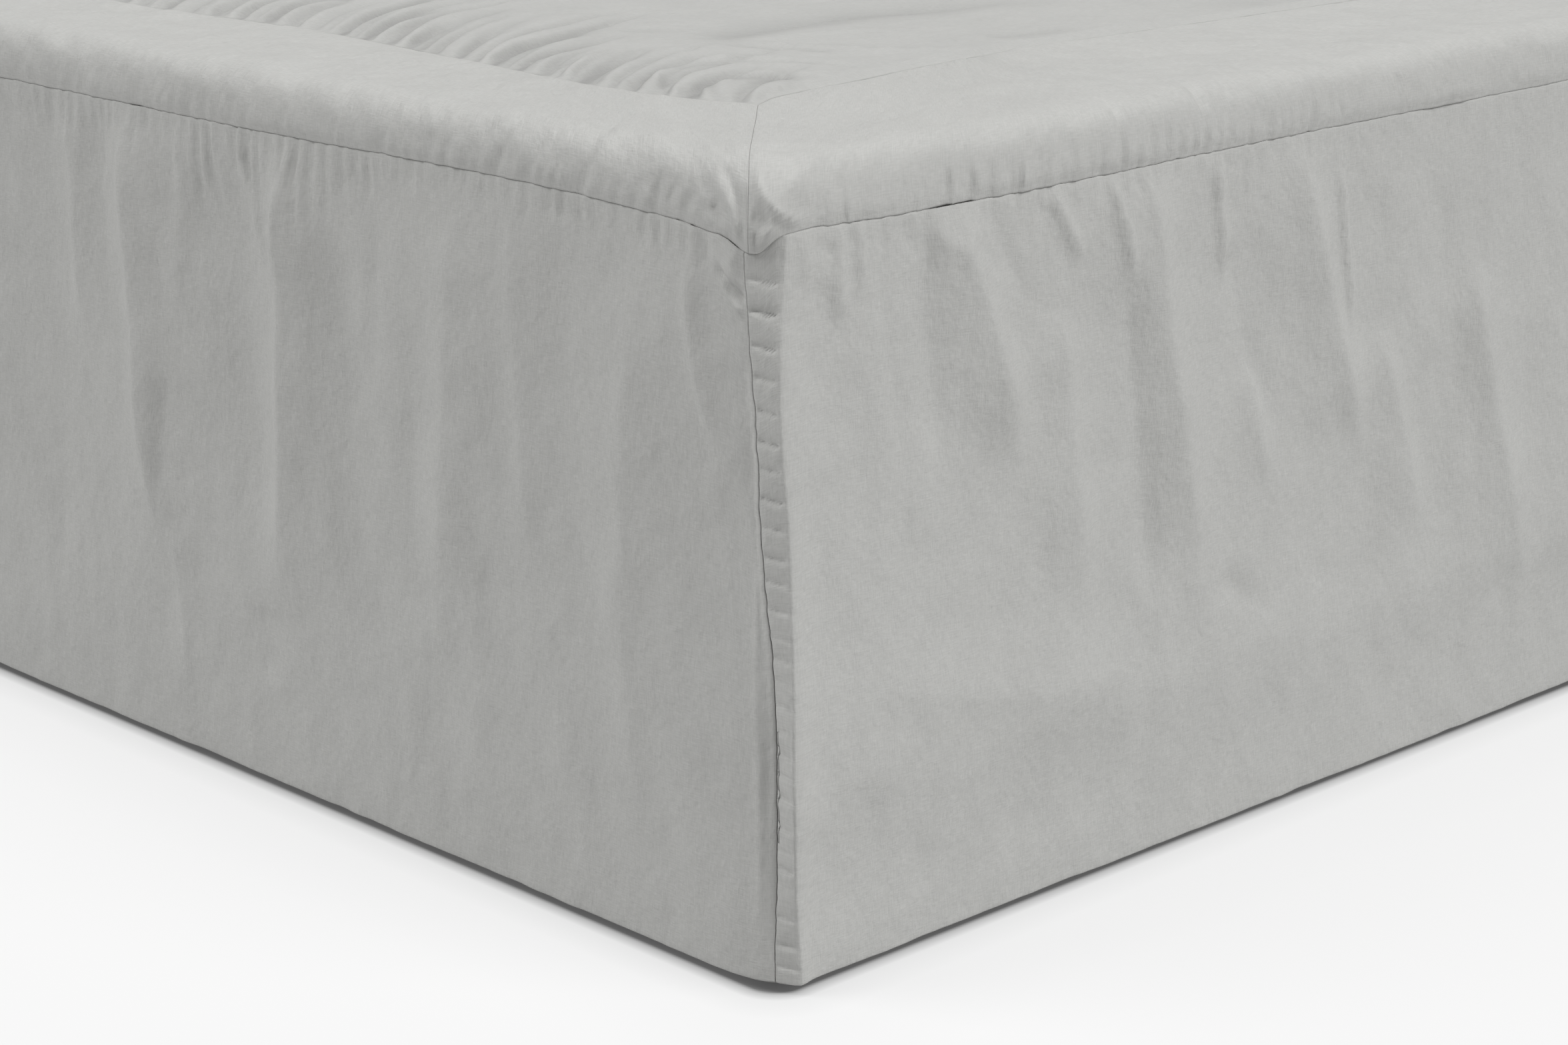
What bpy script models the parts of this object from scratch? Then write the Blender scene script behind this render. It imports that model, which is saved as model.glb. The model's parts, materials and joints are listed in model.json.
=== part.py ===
"""A tailored linen bed skirt on a plain box bed base.

+X is the right side, +Y the head end and +Z up. The origin is on the floor under the middle of the base.
The skirt is a deck on top of the base, three border bands round the deck, mitred at the foot corners, and
three hanging drops that are joined at the foot corners by felled seams. The head end is open.
Sizes are in millimetres up to add_mesh, which turns them into metres.
"""

import math
from typing import NamedTuple

import bmesh
import bpy
import numpy as np

MM = 0.001

# The base, a block that stands on the floor.
BASE_WIDTH = 1524.0
BASE_LENGTH = 2032.0
BASE_HEIGHT = 384.0
BASE_EDGE_RADIUS = 30.0
BASE_CORNER_RADIUS = 16.0
BASE_FOOT_BEVEL = 3.0
BASE_ARC_STEPS = 5

# The cloth.
GAP = 0.3
EDGE_CLEARANCE = 2.0
TOP_THICKNESS = 1.5
DROP_THICKNESS = 2.0
HEM_HEIGHT = 5.0
ROLL_RADIUS = 30.0
CORNER_RADIUS = 14.5

TOP_HEIGHT = BASE_HEIGHT + GAP + TOP_THICKNESS
SEAM_HEIGHT = TOP_HEIGHT - ROLL_RADIUS
DROP_LENGTH = SEAM_HEIGHT - HEM_HEIGHT
WALL_X = BASE_WIDTH / 2 + EDGE_CLEARANCE + DROP_THICKNESS
WALL_Y = BASE_LENGTH / 2 + EDGE_CLEARANCE + DROP_THICKNESS
CORNER_ARC = CORNER_RADIUS * math.pi / 2
ROLL_ARC = ROLL_RADIUS * math.pi / 2

# A station is a distance along the wall from the middle of the foot, less than 0 on the left.
# Past a corner, the wall turns to the side from FOOT_HALF on.
FOOT_HALF = WALL_X - CORNER_RADIUS
HEAD_END = BASE_LENGTH / 2 - EDGE_CLEARANCE
HEAD_STATION = FOOT_HALF + CORNER_ARC - CORNER_RADIUS + WALL_Y + HEAD_END

SKIRT_COLOR = (0.5, 0.5, 0.485)
DECK_COLOR = (0.47, 0.47, 0.455)
BASE_COLOR = (0.6, 0.59, 0.56)

# Over this distance from a corner the rings of a band turn from mitred to square.
MITRE_FADE = 400.0


class Fold(NamedTuple):
    """A soft ridge in a drop. at is the distance from the corner, less than 0 on the foot side, and height is
    over the hem. bow is how far its middle lies off the straight line, before and after are its half widths
    on the two sides, and proud is how far it stands out, less than 0 for a hollow."""

    top_at: float
    top_height: float
    low_at: float
    low_height: float
    bow: float
    before: float
    after: float
    proud: float


RIGHT_FOLDS = (
    Fold(-600, 330, -606, 60, 0, 30, 26, -2.5),
    Fold(-501, 335, -487, 105, -3, 18, 13, 5.0),
    Fold(-412, 320, -396, 135, -4, 22, 18, -3.5),
    Fold(-360, 330, -374, 105, 3, 18, 18, 5.0),
    Fold(-228, 320, -243, 125, 0, 22, 22, 3.0),
    Fold(-95, 305, -100, 60, -8, 24, 20, 3.0),
    Fold(-38, 230, -36, 50, 0, 22, 20, -2.5),
    Fold(96, 340, 114, 235, 0, 16, 14, -2.5),
    Fold(114, 345, 157, 230, 2, 14, 16, 5.0),
    Fold(190, 275, 202, 150, 0, 14, 14, 3.0),
    Fold(238, 290, 262, 130, 0, 15, 12, -2.5),
    Fold(253, 335, 294, 135, -3, 14, 18, 5.0),
    Fold(368, 335, 427, 180, -4, 14, 15, 4.5),
    Fold(440, 230, 476, 125, 0, 14, 14, 3.0),
    Fold(520, 250, 566, 90, 0, 18, 18, 4.0),
)
LEFT_FOLDS = (
    Fold(-560, 320, -548, 120, 3, 20, 15, 4.5),
    Fold(-455, 330, -440, 150, -3, 18, 20, -3.0),
    Fold(-330, 335, -352, 95, 4, 16, 20, 5.0),
    Fold(-190, 315, -181, 140, 0, 22, 18, 3.5),
    Fold(-80, 325, -92, 90, -5, 18, 18, 3.5),
    Fold(84, 340, 118, 210, 3, 14, 17, 4.5),
    Fold(176, 300, 190, 120, 0, 16, 14, 3.0),
    Fold(286, 330, 330, 150, -3, 15, 18, 5.0),
    Fold(300, 280, 352, 110, 0, 14, 14, -2.5),
    Fold(430, 335, 462, 165, 4, 16, 15, 4.0),
    Fold(541, 260, 575, 90, 0, 18, 18, 3.5),
)
FOLDS = {1: RIGHT_FOLDS, -1: LEFT_FOLDS}

# The stretch of side drop that runs on to the head end has folds of the same kind.
FAR_FOLDS_FROM = 640.0
FAR_FOLDS_TO = 1960.0
FAR_PITCH = (75.0, 150.0)
FAR_TOP_HEIGHT = (260.0, 340.0)
FAR_LOW_HEIGHT = (60.0, 150.0)
FAR_LEAN = (5.0, 45.0)
FAR_HALF_WIDTH = (16.0, 26.0)
FAR_PROUD = (2.5, 5.0)
FAR_SEEDS = {1: 11, -1: 12}

# The corner seam between two drops: (height over the hem, distance past the start of the corner's arc).
CORNER_SEAM = ((0, 11.4), (150, 11.4), (219, 6.1), (264, 4.4), (310, 0.6), (351, -3.0))
# The crease that ends the pressed strip beside that seam, in the same terms.
STRIP_CREASE = ((0, 19.6), (88, 17.0), (150, 17.6), (219, 17.0), (264, 15.0), (310, 15.5), (351, 19.6))

# How far a drop stands off its wall, away from its folds: (height over the hem, distance).
FOOT_HANG = ((0, 4.0), (60, 4.0), (150, 3.0), (250, 1.6), (351, 0.0))
SIDE_HANG = ((0, 6.3), (35, 5.4), (90, 9.0), (150, 5.5), (250, 2.0), (351, 0.0))
STRIP_HANG = ((0, 0.8), (150, 0.8), (351, 0.3))
SEAM_DRAW = 29.0

# The seams that join the deck to its bands: (distance from the corner, distance in from the wall).
# They meet on the mitre, at the two rows that give the inner corner.
MITRE_INSET = 112.0
INNER_X = MITRE_INSET + CORNER_RADIUS
FOOT_SEAM = ((0, MITRE_INSET), (INNER_X, MITRE_INSET), (150, 105), (185, 98), (290, 97), (400, 105),
             (490, 108), (600, 98), (766, 104))
SIDE_SEAM = ((0, INNER_X), (MITRE_INSET, INNER_X), (135, 138), (200, 145), (290, 155), (340, 158),
             (500, 150), (2100, 150))

# The seam between band and drop sags in a V down to the top of each corner seam.
SEAM_DIP = 6.0
DIP_AT = CORNER_SEAM[-1][1]
DIP_BEFORE = 42.0
DIP_AFTER = 27.0

# The band bulges a little over that seam.
BULGE = 1.4
BULGE_RISE = 12.0

# Rows of points: shares of the way up a drop, and of the way over a band from its lower seam to the deck.
DROP_ROWS = (0, 0.12, 0.26, 0.44, 0.64, 0.84, 1)
BAND_ROWS = (0, 0.12, 0.25, 0.37, 0.5, 0.75, 1)

# Stations of the sheets' columns, from the start of a corner's arc: (start, stop, pitch).
NEAR_FOOT_STEPS = ((-FOOT_HALF, -640, 37), (-640, -60, 13.2), (-60, 0, 15))
PLAIN_FOOT_STEPS = ((-FOOT_HALF, -60, 29), (-60, 0, 15))
STRIP_SHARES = (0, 0.33, 0.67, 1)
NEAR_SIDE_STEPS = ((36, 60, 12), (60, 640, 13.2), (640, HEAD_STATION - FOOT_HALF, 46))
PLAIN_SIDE_STEPS = ((36, 60, 12), (60, HEAD_STATION - FOOT_HALF, 40))
BAND_FOOT_STEPS = ((-FOOT_HALF, -480, 68), (-480, -45, 22), (-45, DIP_AT, 14), (DIP_AT, 0, 3))
BAND_CORNER_STEPS = ((0, CORNER_ARC, 5.7), (CORNER_ARC, DIP_AT + DIP_AFTER, 2))
BAND_SIDE_STEPS = ((36, 132, 24), (132, HEAD_STATION - FOOT_HALF, 136))


class Wrinkle(NamedTuple):
    """A low ridge in the deck, an arc from one point to another. x and y are distances in from the two walls,
    bow is how far its middle lies off the straight line, and rise is its height."""

    start_x: float
    start_y: float
    end_x: float
    end_y: float
    bow: float
    width: float
    rise: float


DECK_WRINKLES = (
    Wrinkle(500, 112, 505, 225, 26, 16, 3.0),
    Wrinkle(418, 110, 455, 205, 6, 13, 2.5),
    Wrinkle(360, 106, 412, 200, 6, 14, 2.5),
    Wrinkle(300, 102, 335, 195, 5, 14, 2.5),
    Wrinkle(222, 102, 238, 225, 14, 13, 3.0),
    Wrinkle(182, 104, 170, 240, 32, 14, 3.5),
)


def smooth(x):
    """0 below 0, 1 above 1 and an even slope between."""
    x = np.clip(x, 0.0, 1.0)
    return x * x * (3 - 2 * x)


def along_curve(table, x):
    """The value at x on the smooth line through a table of (x, value) rows."""
    xs, ys = (np.array(column, float) for column in zip(*table))
    slopes = np.gradient(ys, xs)
    x = np.clip(x, xs[0], xs[-1])
    k = np.clip(np.searchsorted(xs, x) - 1, 0, len(xs) - 2)
    step = xs[k + 1] - xs[k]
    t = (x - xs[k]) / step
    rise = ys[k] + (ys[k + 1] - ys[k]) * t * t * (3 - 2 * t)
    return rise + step * t * (1 - t) * (slopes[k] * (1 - t) - slopes[k + 1] * t)


def past_corner(station):
    """The distance past the start of the nearer corner's arc, less than 0 on the foot side."""
    return np.abs(station) - FOOT_HALF


def mitre_share(past):
    """1 at a corner's arc and falling to 0 along the walls on its two sides, which are given one by one."""
    foot_share = 1 - smooth(-past / MITRE_FADE)
    side_share = 1 - smooth((past - CORNER_ARC) / MITRE_FADE)
    return foot_share, side_share


def plan(station, inset, out=0.0):
    """Where a point of a ring lies in plan. inset is how far in from the wall the ring lies, and out how far
    the point stands off it."""
    past = past_corner(station)
    turn = np.clip(past / CORNER_RADIUS, 0, math.pi / 2)
    foot_share, side_share = mitre_share(past)
    x = FOOT_HALF + np.minimum(past, 0) + (CORNER_RADIUS + out) * np.sin(turn) - inset * foot_share
    side = np.maximum(past - CORNER_ARC, 0)
    y = CORNER_RADIUS - WALL_Y + side - (CORNER_RADIUS + out) * np.cos(turn) + inset * side_share
    return np.where(station < 0, -x, x), y


def from_corner(past):
    """The distance from the corner where the two walls would meet, less than 0 on the foot side."""
    on_arc = CORNER_RADIUS * (2 * past / CORNER_ARC - 1)
    beyond = past - CORNER_ARC + CORNER_RADIUS
    return np.where(past < 0, past - CORNER_RADIUS, np.where(past > CORNER_ARC, beyond, on_arc))


def seam_height(station):
    """The height of the seam between band and drop."""
    off = past_corner(station) - DIP_AT
    reach = np.where(off < 0, DIP_BEFORE, DIP_AFTER)
    return SEAM_HEIGHT - SEAM_DIP * np.maximum(1 - np.abs(off) / reach, 0)


def fold_height(fold, at, height):
    """How far one fold pushes the cloth out at a place."""
    run = (fold.top_height - height) / (fold.top_height - fold.low_height)
    middle = fold.top_at + (fold.low_at - fold.top_at) * run + 4 * fold.bow * run * (1 - run)
    off = at - middle
    across = np.exp(-((off / np.where(off < 0, fold.before, fold.after)) ** 2))
    return fold.proud * across * smooth(4 * run + 0.5) * smooth(4 * (1 - run) + 0.5)


def far_folds(sign):
    """Folds for the far stretch of the right (1) or left (-1) side drop."""
    chance = np.random.RandomState(FAR_SEEDS[sign])
    folds, at = [], FAR_FOLDS_FROM
    while at < FAR_FOLDS_TO:
        top_height, low_height = chance.uniform(*FAR_TOP_HEIGHT), chance.uniform(*FAR_LOW_HEIGHT)
        low_at = at + chance.uniform(*FAR_LEAN)
        before, after = chance.uniform(*FAR_HALF_WIDTH, 2)
        proud = chance.uniform(*FAR_PROUD)
        folds.append(Fold(at, top_height, low_at, low_height, 0, before, after, proud))
        at += chance.uniform(*FAR_PITCH)
    return folds


def drop_out(station, height):
    """How far a drop stands off its wall, folds and all. height is over the hem."""
    past = past_corner(station)
    at = from_corner(past)
    seam, crease = along_curve(CORNER_SEAM, height), along_curve(STRIP_CREASE, height)
    strip = along_curve(STRIP_HANG, height)
    foot = along_curve(FOOT_HANG, height)
    side = along_curve(SIDE_HANG, height)
    before_seam = foot + (strip - foot) * smooth((past - seam) / SEAM_DRAW + 1)
    after_seam = strip + (side - strip) * smooth((past - seam) / (crease - seam))
    out = np.where(past < seam, before_seam, after_seam)
    for sign in (1, -1):
        folds = [*FOLDS[sign], *far_folds(sign)]
        pushed = sum(fold_height(fold, at, height) for fold in folds)
        out = out + np.where(station * sign > 0, pushed, 0)
    return np.maximum(out, 0)


def steps(rows):
    """Places from one stretch to the next, each at its own pitch: (start, stop, pitch) rows in a line."""
    places = []
    for start, stop, pitch in rows:
        count = max(1, round(abs(stop - start) / pitch))
        places.extend(np.linspace(start, stop, count, endpoint=False))
    return np.array([*places, rows[-1][1]])


def linen(name, color, roughness):
    material = bpy.data.materials.new(name)
    material.use_nodes = True
    shader = material.node_tree.nodes["Principled BSDF"]
    shader.inputs["Base Color"].default_value = (*color, 1)
    shader.inputs["Roughness"].default_value = roughness
    shader.inputs["Metallic"].default_value = 0
    return material


def add_mesh(name, points, faces, material):
    """Makes a closed mesh, turned to face out and shaded smooth but for its sharp edges."""
    mesh = bpy.data.meshes.new(name)
    mesh.from_pydata((np.array(points) * MM).tolist(), [], faces)
    shell = bmesh.new()
    shell.from_mesh(mesh)
    bmesh.ops.recalc_face_normals(shell, faces=shell.faces)
    shell.to_mesh(mesh)
    shell.free()
    mesh.materials.append(material)
    mesh.shade_smooth()
    mesh.set_sharp_from_angle(angle=math.radians(50))
    piece = bpy.data.objects.new(name, mesh)
    bpy.context.scene.collection.objects.link(piece)


def add_sheet(name, outer, inner, material):
    """One closed sheet between an outer and an inner grid of points of the same shape."""
    rows, columns = outer.shape[:2]
    count = rows * columns
    faces = []
    for row in range(rows - 1):
        for column in range(columns - 1):
            first = row * columns + column
            quad = (first, first + 1, first + columns + 1, first + columns)
            faces.append(quad)
            faces.append(tuple(count + k for k in reversed(quad)))
    rim = [*range(columns), *range(2 * columns - 1, count, columns)]
    rim += [*range(count - 2, count - columns - 1, -1), *range(count - 2 * columns, 0, -columns)]
    for a, b in zip(rim, rim[1:] + rim[:1]):
        faces.append((b, a, count + a, count + b))
    points = np.concatenate([outer.reshape(-1, 3), inner.reshape(-1, 3)])
    add_mesh(name, points, faces, material)


def drop_grid(columns, depth):
    """Points of a drop, depth under its outer surface. columns holds each column's stations, row by row."""
    share = np.array(DROP_ROWS)[:, None]
    z = HEM_HEIGHT + share * (seam_height(columns) - GAP / 2 - HEM_HEIGHT)
    x, y = plan(columns, 0.0, drop_out(columns, z - HEM_HEIGHT) - depth)
    return np.stack([x, y, z], axis=-1)


def drop_columns(sign, steps_past_corner, seam_side):
    """Each column's stations, row by row, with the first or last column on the corner seam."""
    height = np.array(DROP_ROWS)[:, None] * DROP_LENGTH
    seam = along_curve(CORNER_SEAM, height) + seam_side * GAP / 2
    past = np.broadcast_to(steps_past_corner, (len(DROP_ROWS), len(steps_past_corner)))
    if seam_side < 0:
        # The last columns of the foot crowd up to the seam as it leans.
        past = past + seam * smooth(1 + past / DIP_BEFORE)
    else:
        strip = seam + (along_curve(STRIP_CREASE, height) - seam) * np.array(STRIP_SHARES)
        past = np.concatenate([strip, past], axis=1)
    return sign * (FOOT_HALF + past)


def add_drops():
    right = drop_columns(1, steps(NEAR_FOOT_STEPS), -1)
    left = drop_columns(-1, steps(PLAIN_FOOT_STEPS), -1)
    foot = np.concatenate([left[:, :0:-1], right], axis=1)
    side_right = drop_columns(1, steps(NEAR_SIDE_STEPS), 1)
    side_left = drop_columns(-1, steps(PLAIN_SIDE_STEPS), 1)
    cloth = linen("drop_linen", SKIRT_COLOR, 0.9)
    for name, columns in (("drop_foot", foot), ("drop_right", side_right), ("drop_left", side_left)):
        add_sheet(name, drop_grid(columns, 0), drop_grid(columns, DROP_THICKNESS), cloth.copy())


def deck_seam_inset(station):
    """How far in from the wall's ring the seam between band and deck lies."""
    past = past_corner(station)
    at = from_corner(past)
    foot_share, side_share = mitre_share(past)
    turn = np.clip(past / CORNER_RADIUS, 0, math.pi / 2)
    foot = along_curve(FOOT_SEAM, np.maximum(-at, 0) + MITRE_INSET * foot_share)
    side = along_curve(SIDE_SEAM, np.maximum(at, 0) + MITRE_INSET * side_share)
    return np.where(past <= 0, foot, side - CORNER_RADIUS * (1 - np.sin(turn)))


def band_grid(stations, depth):
    """Points of a band, depth under its outer surface: up from the lower seam, over the edge and in."""
    share = np.array(BAND_ROWS)[:, None]
    reach = deck_seam_inset(stations) - ROLL_RADIUS
    rise = np.where(share <= 0.5, 2 * share * ROLL_ARC, ROLL_ARC + (2 * share - 1) * reach)
    bulge = BULGE * smooth(rise / BULGE_RISE) * smooth((ROLL_ARC - rise) / (ROLL_ARC - BULGE_RISE))
    turn = np.minimum(rise, ROLL_ARC) / ROLL_RADIUS
    radius = ROLL_RADIUS + bulge - depth
    inset = ROLL_RADIUS - radius * np.cos(turn) + np.maximum(rise - ROLL_ARC, 0)
    x, y = plan(np.broadcast_to(stations, inset.shape), inset)
    sag = (seam_height(stations) - SEAM_HEIGHT + GAP / 2) * (1 - turn / (math.pi / 2))
    z = SEAM_HEIGHT + radius * np.sin(turn) + sag
    return np.stack([x, y, z], axis=-1)


def band_stations(past, sign):
    """Stations of a band's columns, with its mitred end half a gap from the mitre's plane."""
    past = past.copy()
    past[past == 0] = math.copysign(GAP / math.sqrt(2), past.sum())
    return sign * (FOOT_HALF + past)


def side_steps():
    return np.concatenate([steps(BAND_CORNER_STEPS), steps(BAND_SIDE_STEPS)])


def add_bands():
    half = band_stations(steps(BAND_FOOT_STEPS), 1)
    runs = {
        "band_foot": np.concatenate([-half[:0:-1], half]),
        "band_right": band_stations(side_steps(), 1),
        "band_left": band_stations(side_steps(), -1),
    }
    cloth = linen("band_linen", SKIRT_COLOR, 0.9)
    for name, stations in runs.items():
        add_sheet(name, band_grid(stations, 0), band_grid(stations, TOP_THICKNESS), cloth.copy())


def deck_rise(x, y):
    """How high the deck's wrinkles stand at a place."""
    in_x, in_y = WALL_X - x, y + WALL_Y
    rise = np.zeros_like(x)
    for row in DECK_WRINKLES:
        run_x, run_y = row.end_x - row.start_x, row.end_y - row.start_y
        length = math.hypot(run_x, run_y)
        run = ((in_x - row.start_x) * run_x + (in_y - row.start_y) * run_y) / length**2
        off = ((in_x - row.start_x) * run_y - (in_y - row.start_y) * run_x) / length
        off = off - 4 * row.bow * run * (1 - run)
        ends = smooth(4 * run + 0.6) * smooth(4 * (1 - run))
        rise = rise + row.rise * np.exp(-((off / row.width) ** 2)) * ends
    return rise


def add_deck():
    """A sheet whose edges follow the bands' seams, filled in evenly between them."""
    half = FOOT_HALF + steps(BAND_FOOT_STEPS)
    foot_stations = np.concatenate([-half[:0:-1], half])
    side_stations = FOOT_HALF + side_steps()
    foot = np.stack(plan(foot_stations, deck_seam_inset(foot_stations) + GAP), axis=-1)
    right = np.stack(plan(side_stations, deck_seam_inset(side_stations) + GAP), axis=-1)
    left = right * (-1, 1)
    across = ((foot_stations - foot_stations[0]) / np.ptp(foot_stations))[None, :, None]
    down = ((right[:, 1] - right[0, 1]) / np.ptp(right[:, 1]))[:, None, None]
    head = left[-1] + (right[-1] - left[-1]) * across
    edges = foot[None] * (1 - down) + head * down + left[:, None] * (1 - across) + right[:, None] * across
    corners = (foot[0] * (1 - across) + foot[-1] * across) * (1 - down) + head * down
    x, y = np.moveaxis(edges - corners, -1, 0)
    outer = np.stack([x, y, TOP_HEIGHT + deck_rise(x, y)], axis=-1)
    add_sheet("deck", outer, outer - (0, 0, TOP_THICKNESS), linen("deck_linen", DECK_COLOR, 0.85))


def add_base():
    """A block with rounded top edges and upright edges, built up from rings."""
    arc = [math.pi / 2 * k / BASE_ARC_STEPS for k in range(BASE_ARC_STEPS + 1)]
    sections = [(BASE_FOOT_BEVEL, 0.0), (0.0, BASE_FOOT_BEVEL)]
    for turn in arc:
        inset = BASE_EDGE_RADIUS * (1 - math.cos(turn))
        sections.append((inset, BASE_HEIGHT - BASE_EDGE_RADIUS * (1 - math.sin(turn))))
    points = []
    for inset, z in sections:
        half_x = BASE_WIDTH / 2 - inset - BASE_CORNER_RADIUS
        half_y = BASE_LENGTH / 2 - inset - BASE_CORNER_RADIUS
        for quarter, (sign_x, sign_y) in enumerate(((1, 1), (-1, 1), (-1, -1), (1, -1))):
            for turn in arc:
                angle = turn + quarter * math.pi / 2
                x = sign_x * half_x + BASE_CORNER_RADIUS * math.cos(angle)
                y = sign_y * half_y + BASE_CORNER_RADIUS * math.sin(angle)
                points.append((x, y, z))
    ring = 4 * len(arc)
    faces = [tuple(range(ring)), tuple(range(len(points) - ring, len(points)))]
    for low in range(0, len(points) - ring, ring):
        for k in range(ring):
            after = (k + 1) % ring
            faces.append((low + k, low + after, low + ring + after, low + ring + k))
    add_mesh("base", points, faces, linen("base_cover", BASE_COLOR, 0.85))


for old in list(bpy.data.objects):
    bpy.data.objects.remove(old)
add_base()
add_deck()
add_bands()
add_drops()
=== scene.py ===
import json
import math
from typing import NamedTuple

import bpy
import numpy as np
from mathutils import Matrix, Vector


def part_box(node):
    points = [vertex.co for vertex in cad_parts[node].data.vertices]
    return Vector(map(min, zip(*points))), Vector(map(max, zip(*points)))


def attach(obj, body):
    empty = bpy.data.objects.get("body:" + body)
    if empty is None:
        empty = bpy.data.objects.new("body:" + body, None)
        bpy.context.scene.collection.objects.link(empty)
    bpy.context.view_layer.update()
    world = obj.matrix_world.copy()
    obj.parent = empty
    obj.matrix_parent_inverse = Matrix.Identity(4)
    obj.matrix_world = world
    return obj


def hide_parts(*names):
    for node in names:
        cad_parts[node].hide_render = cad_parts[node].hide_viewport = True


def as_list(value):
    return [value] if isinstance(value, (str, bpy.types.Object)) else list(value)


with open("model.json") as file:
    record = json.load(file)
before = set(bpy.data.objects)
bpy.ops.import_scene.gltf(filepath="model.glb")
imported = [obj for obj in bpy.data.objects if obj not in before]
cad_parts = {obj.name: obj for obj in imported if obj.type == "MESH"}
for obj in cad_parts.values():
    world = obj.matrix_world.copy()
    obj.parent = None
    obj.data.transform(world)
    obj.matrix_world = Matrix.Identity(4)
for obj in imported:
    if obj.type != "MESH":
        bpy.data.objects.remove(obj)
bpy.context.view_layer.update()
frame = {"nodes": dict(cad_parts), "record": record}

# Sizes are in millimetres, in the frame's own axes: +X right side, +Y head end, +Z up.
MM = 0.001
_, BASE_HIGH = (np.array(corner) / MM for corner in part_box("base"))
FOOT_LOW, _ = (np.array(corner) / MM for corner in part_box("drop_foot"))
MOUNTS = {mount["name"]: mount for mount in frame["record"]["mounts"]}

# The cloth stands this far off the base's walls, outer face to wall.
STAND_OFF = 4.0
WALL_X = BASE_HIGH[0] + STAND_OFF
WALL_Y = BASE_HIGH[1] + STAND_OFF
TOP_HEIGHT = MOUNTS["mattress_face"]["pos_m"][2] / MM
HEM_HEIGHT = FOOT_LOW[2]
ROLL_RADIUS = 30.0
CORNER_RADIUS = 14.5
SEAM_HEIGHT = TOP_HEIGHT - ROLL_RADIUS
DROP_LENGTH = SEAM_HEIGHT - HEM_HEIGHT
CORNER_ARC = CORNER_RADIUS * math.pi / 2
ROLL_ARC = ROLL_RADIUS * math.pi / 2

# A station is a distance along the wall from the middle of the foot, less than 0 on the left. past is the
# distance past the start of a corner's arc, less than 0 on the foot side.
FOOT_HALF = WALL_X - CORNER_RADIUS
HEAD_END = BASE_HIGH[1] - 2.0
HEAD_PAST = CORNER_ARC - CORNER_RADIUS + WALL_Y + HEAD_END

# Over this distance from a corner the rings of a band turn from mitred to square.
MITRE_FADE = 400.0

CLOTH_THICKNESS = 0.8
DECK_THICKNESS = 0.6


# ------------------------ camera, floor and light

CAMERA_LENS = 80.93
CAMERA_YAW = 46.407
CAMERA_PITCH = 16.321
CAMERA_ROLL = -0.279
# From the corner of the right and foot walls, at the height of the hem.
CAMERA_FROM_CORNER = (1087.6, -1028.6, 661.4)

WORLD_STRENGTH = 0.16
SUNS = (
    # name, way to the light, strength, angle across in degrees
    ("key", (0.5, 0.17, 0.66), 2.66, 30.0),
    ("fill", (-0.27, -0.30, 0.52), 2.07, 30.0),
)
FLOOR_HALF = 12000.0
FLOOR_COLOR = (0.1, 0.1, 0.1)
# The floor glows evenly white, and less under the bed and close to it, which paints a shadow by the hem:
# (distance out from the walls, glow).
FLOOR_GLOW_AND_PAINTED_SHADOW = ((-30, 0.0), (0, 0.10), (3, 0.40), (10, 0.69), (30, 0.755), (90, 0.775))


def add_object(name, data):
    thing = bpy.data.objects.new(name, data)
    bpy.context.scene.collection.objects.link(thing)
    return thing


def make_camera():
    data = bpy.data.cameras.new("camera")
    data.lens = CAMERA_LENS
    data.sensor_width = 36.0
    data.clip_start, data.clip_end = 0.05, 100.0
    camera = add_object("camera", data)
    corner = Vector((WALL_X, -WALL_Y, HEM_HEIGHT))
    yaw, pitch = math.radians(CAMERA_YAW), math.radians(CAMERA_PITCH)
    look = Vector((-math.sin(yaw) * math.cos(pitch), math.cos(yaw) * math.cos(pitch), -math.sin(pitch)))
    right = Vector((math.cos(yaw), math.sin(yaw), 0))
    roll = Matrix.Rotation(math.radians(CAMERA_ROLL), 4, -look)
    axes = Matrix((right, right.cross(look), -look)).transposed().to_4x4()
    place = Matrix.Translation((corner + Vector(CAMERA_FROM_CORNER)) * MM)
    camera.matrix_world = place @ roll @ axes
    bpy.context.scene.camera = camera


def make_light():
    world = bpy.data.worlds.new("studio")
    world.use_nodes = True
    world.node_tree.nodes["Background"].inputs["Color"].default_value = (1, 1, 1, 1)
    world.node_tree.nodes["Background"].inputs["Strength"].default_value = WORLD_STRENGTH
    bpy.context.scene.world = world
    for name, way, strength, angle in SUNS:
        data = bpy.data.lights.new(name, "SUN")
        data.energy = strength
        data.angle = math.radians(angle)
        sun = add_object(name, data)
        sun.rotation_mode = "QUATERNION"
        sun.rotation_quaternion = Vector(way).to_track_quat("Z", "Y")
    bpy.context.scene.view_settings.view_transform = "Standard"


# ------------------------ shapes of cloth


class Ridge(NamedTuple):
    """A soft ridge along a line from one place on a piece to another. bow is how far its middle lies off
    the straight line, to the right on the way, left and right are its half widths on its two sides, and rise
    is how far it stands out, less than 0 for a hollow."""

    x0: float
    y0: float
    x1: float
    y1: float
    bow: float
    left: float
    right: float
    rise: float


# The power in a ridge's section: 2 would make it a bell, and less gives it a sharper crest.
CREST_POWER = 1.4


def ridges(*rows):
    return [Ridge(*row) for row in rows]


def smooth(x):
    """0 below 0, 1 above 1 and an even slope between."""
    x = np.clip(x, 0.0, 1.0)
    return x * x * x * (x * (6 * x - 15) + 10)


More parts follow.
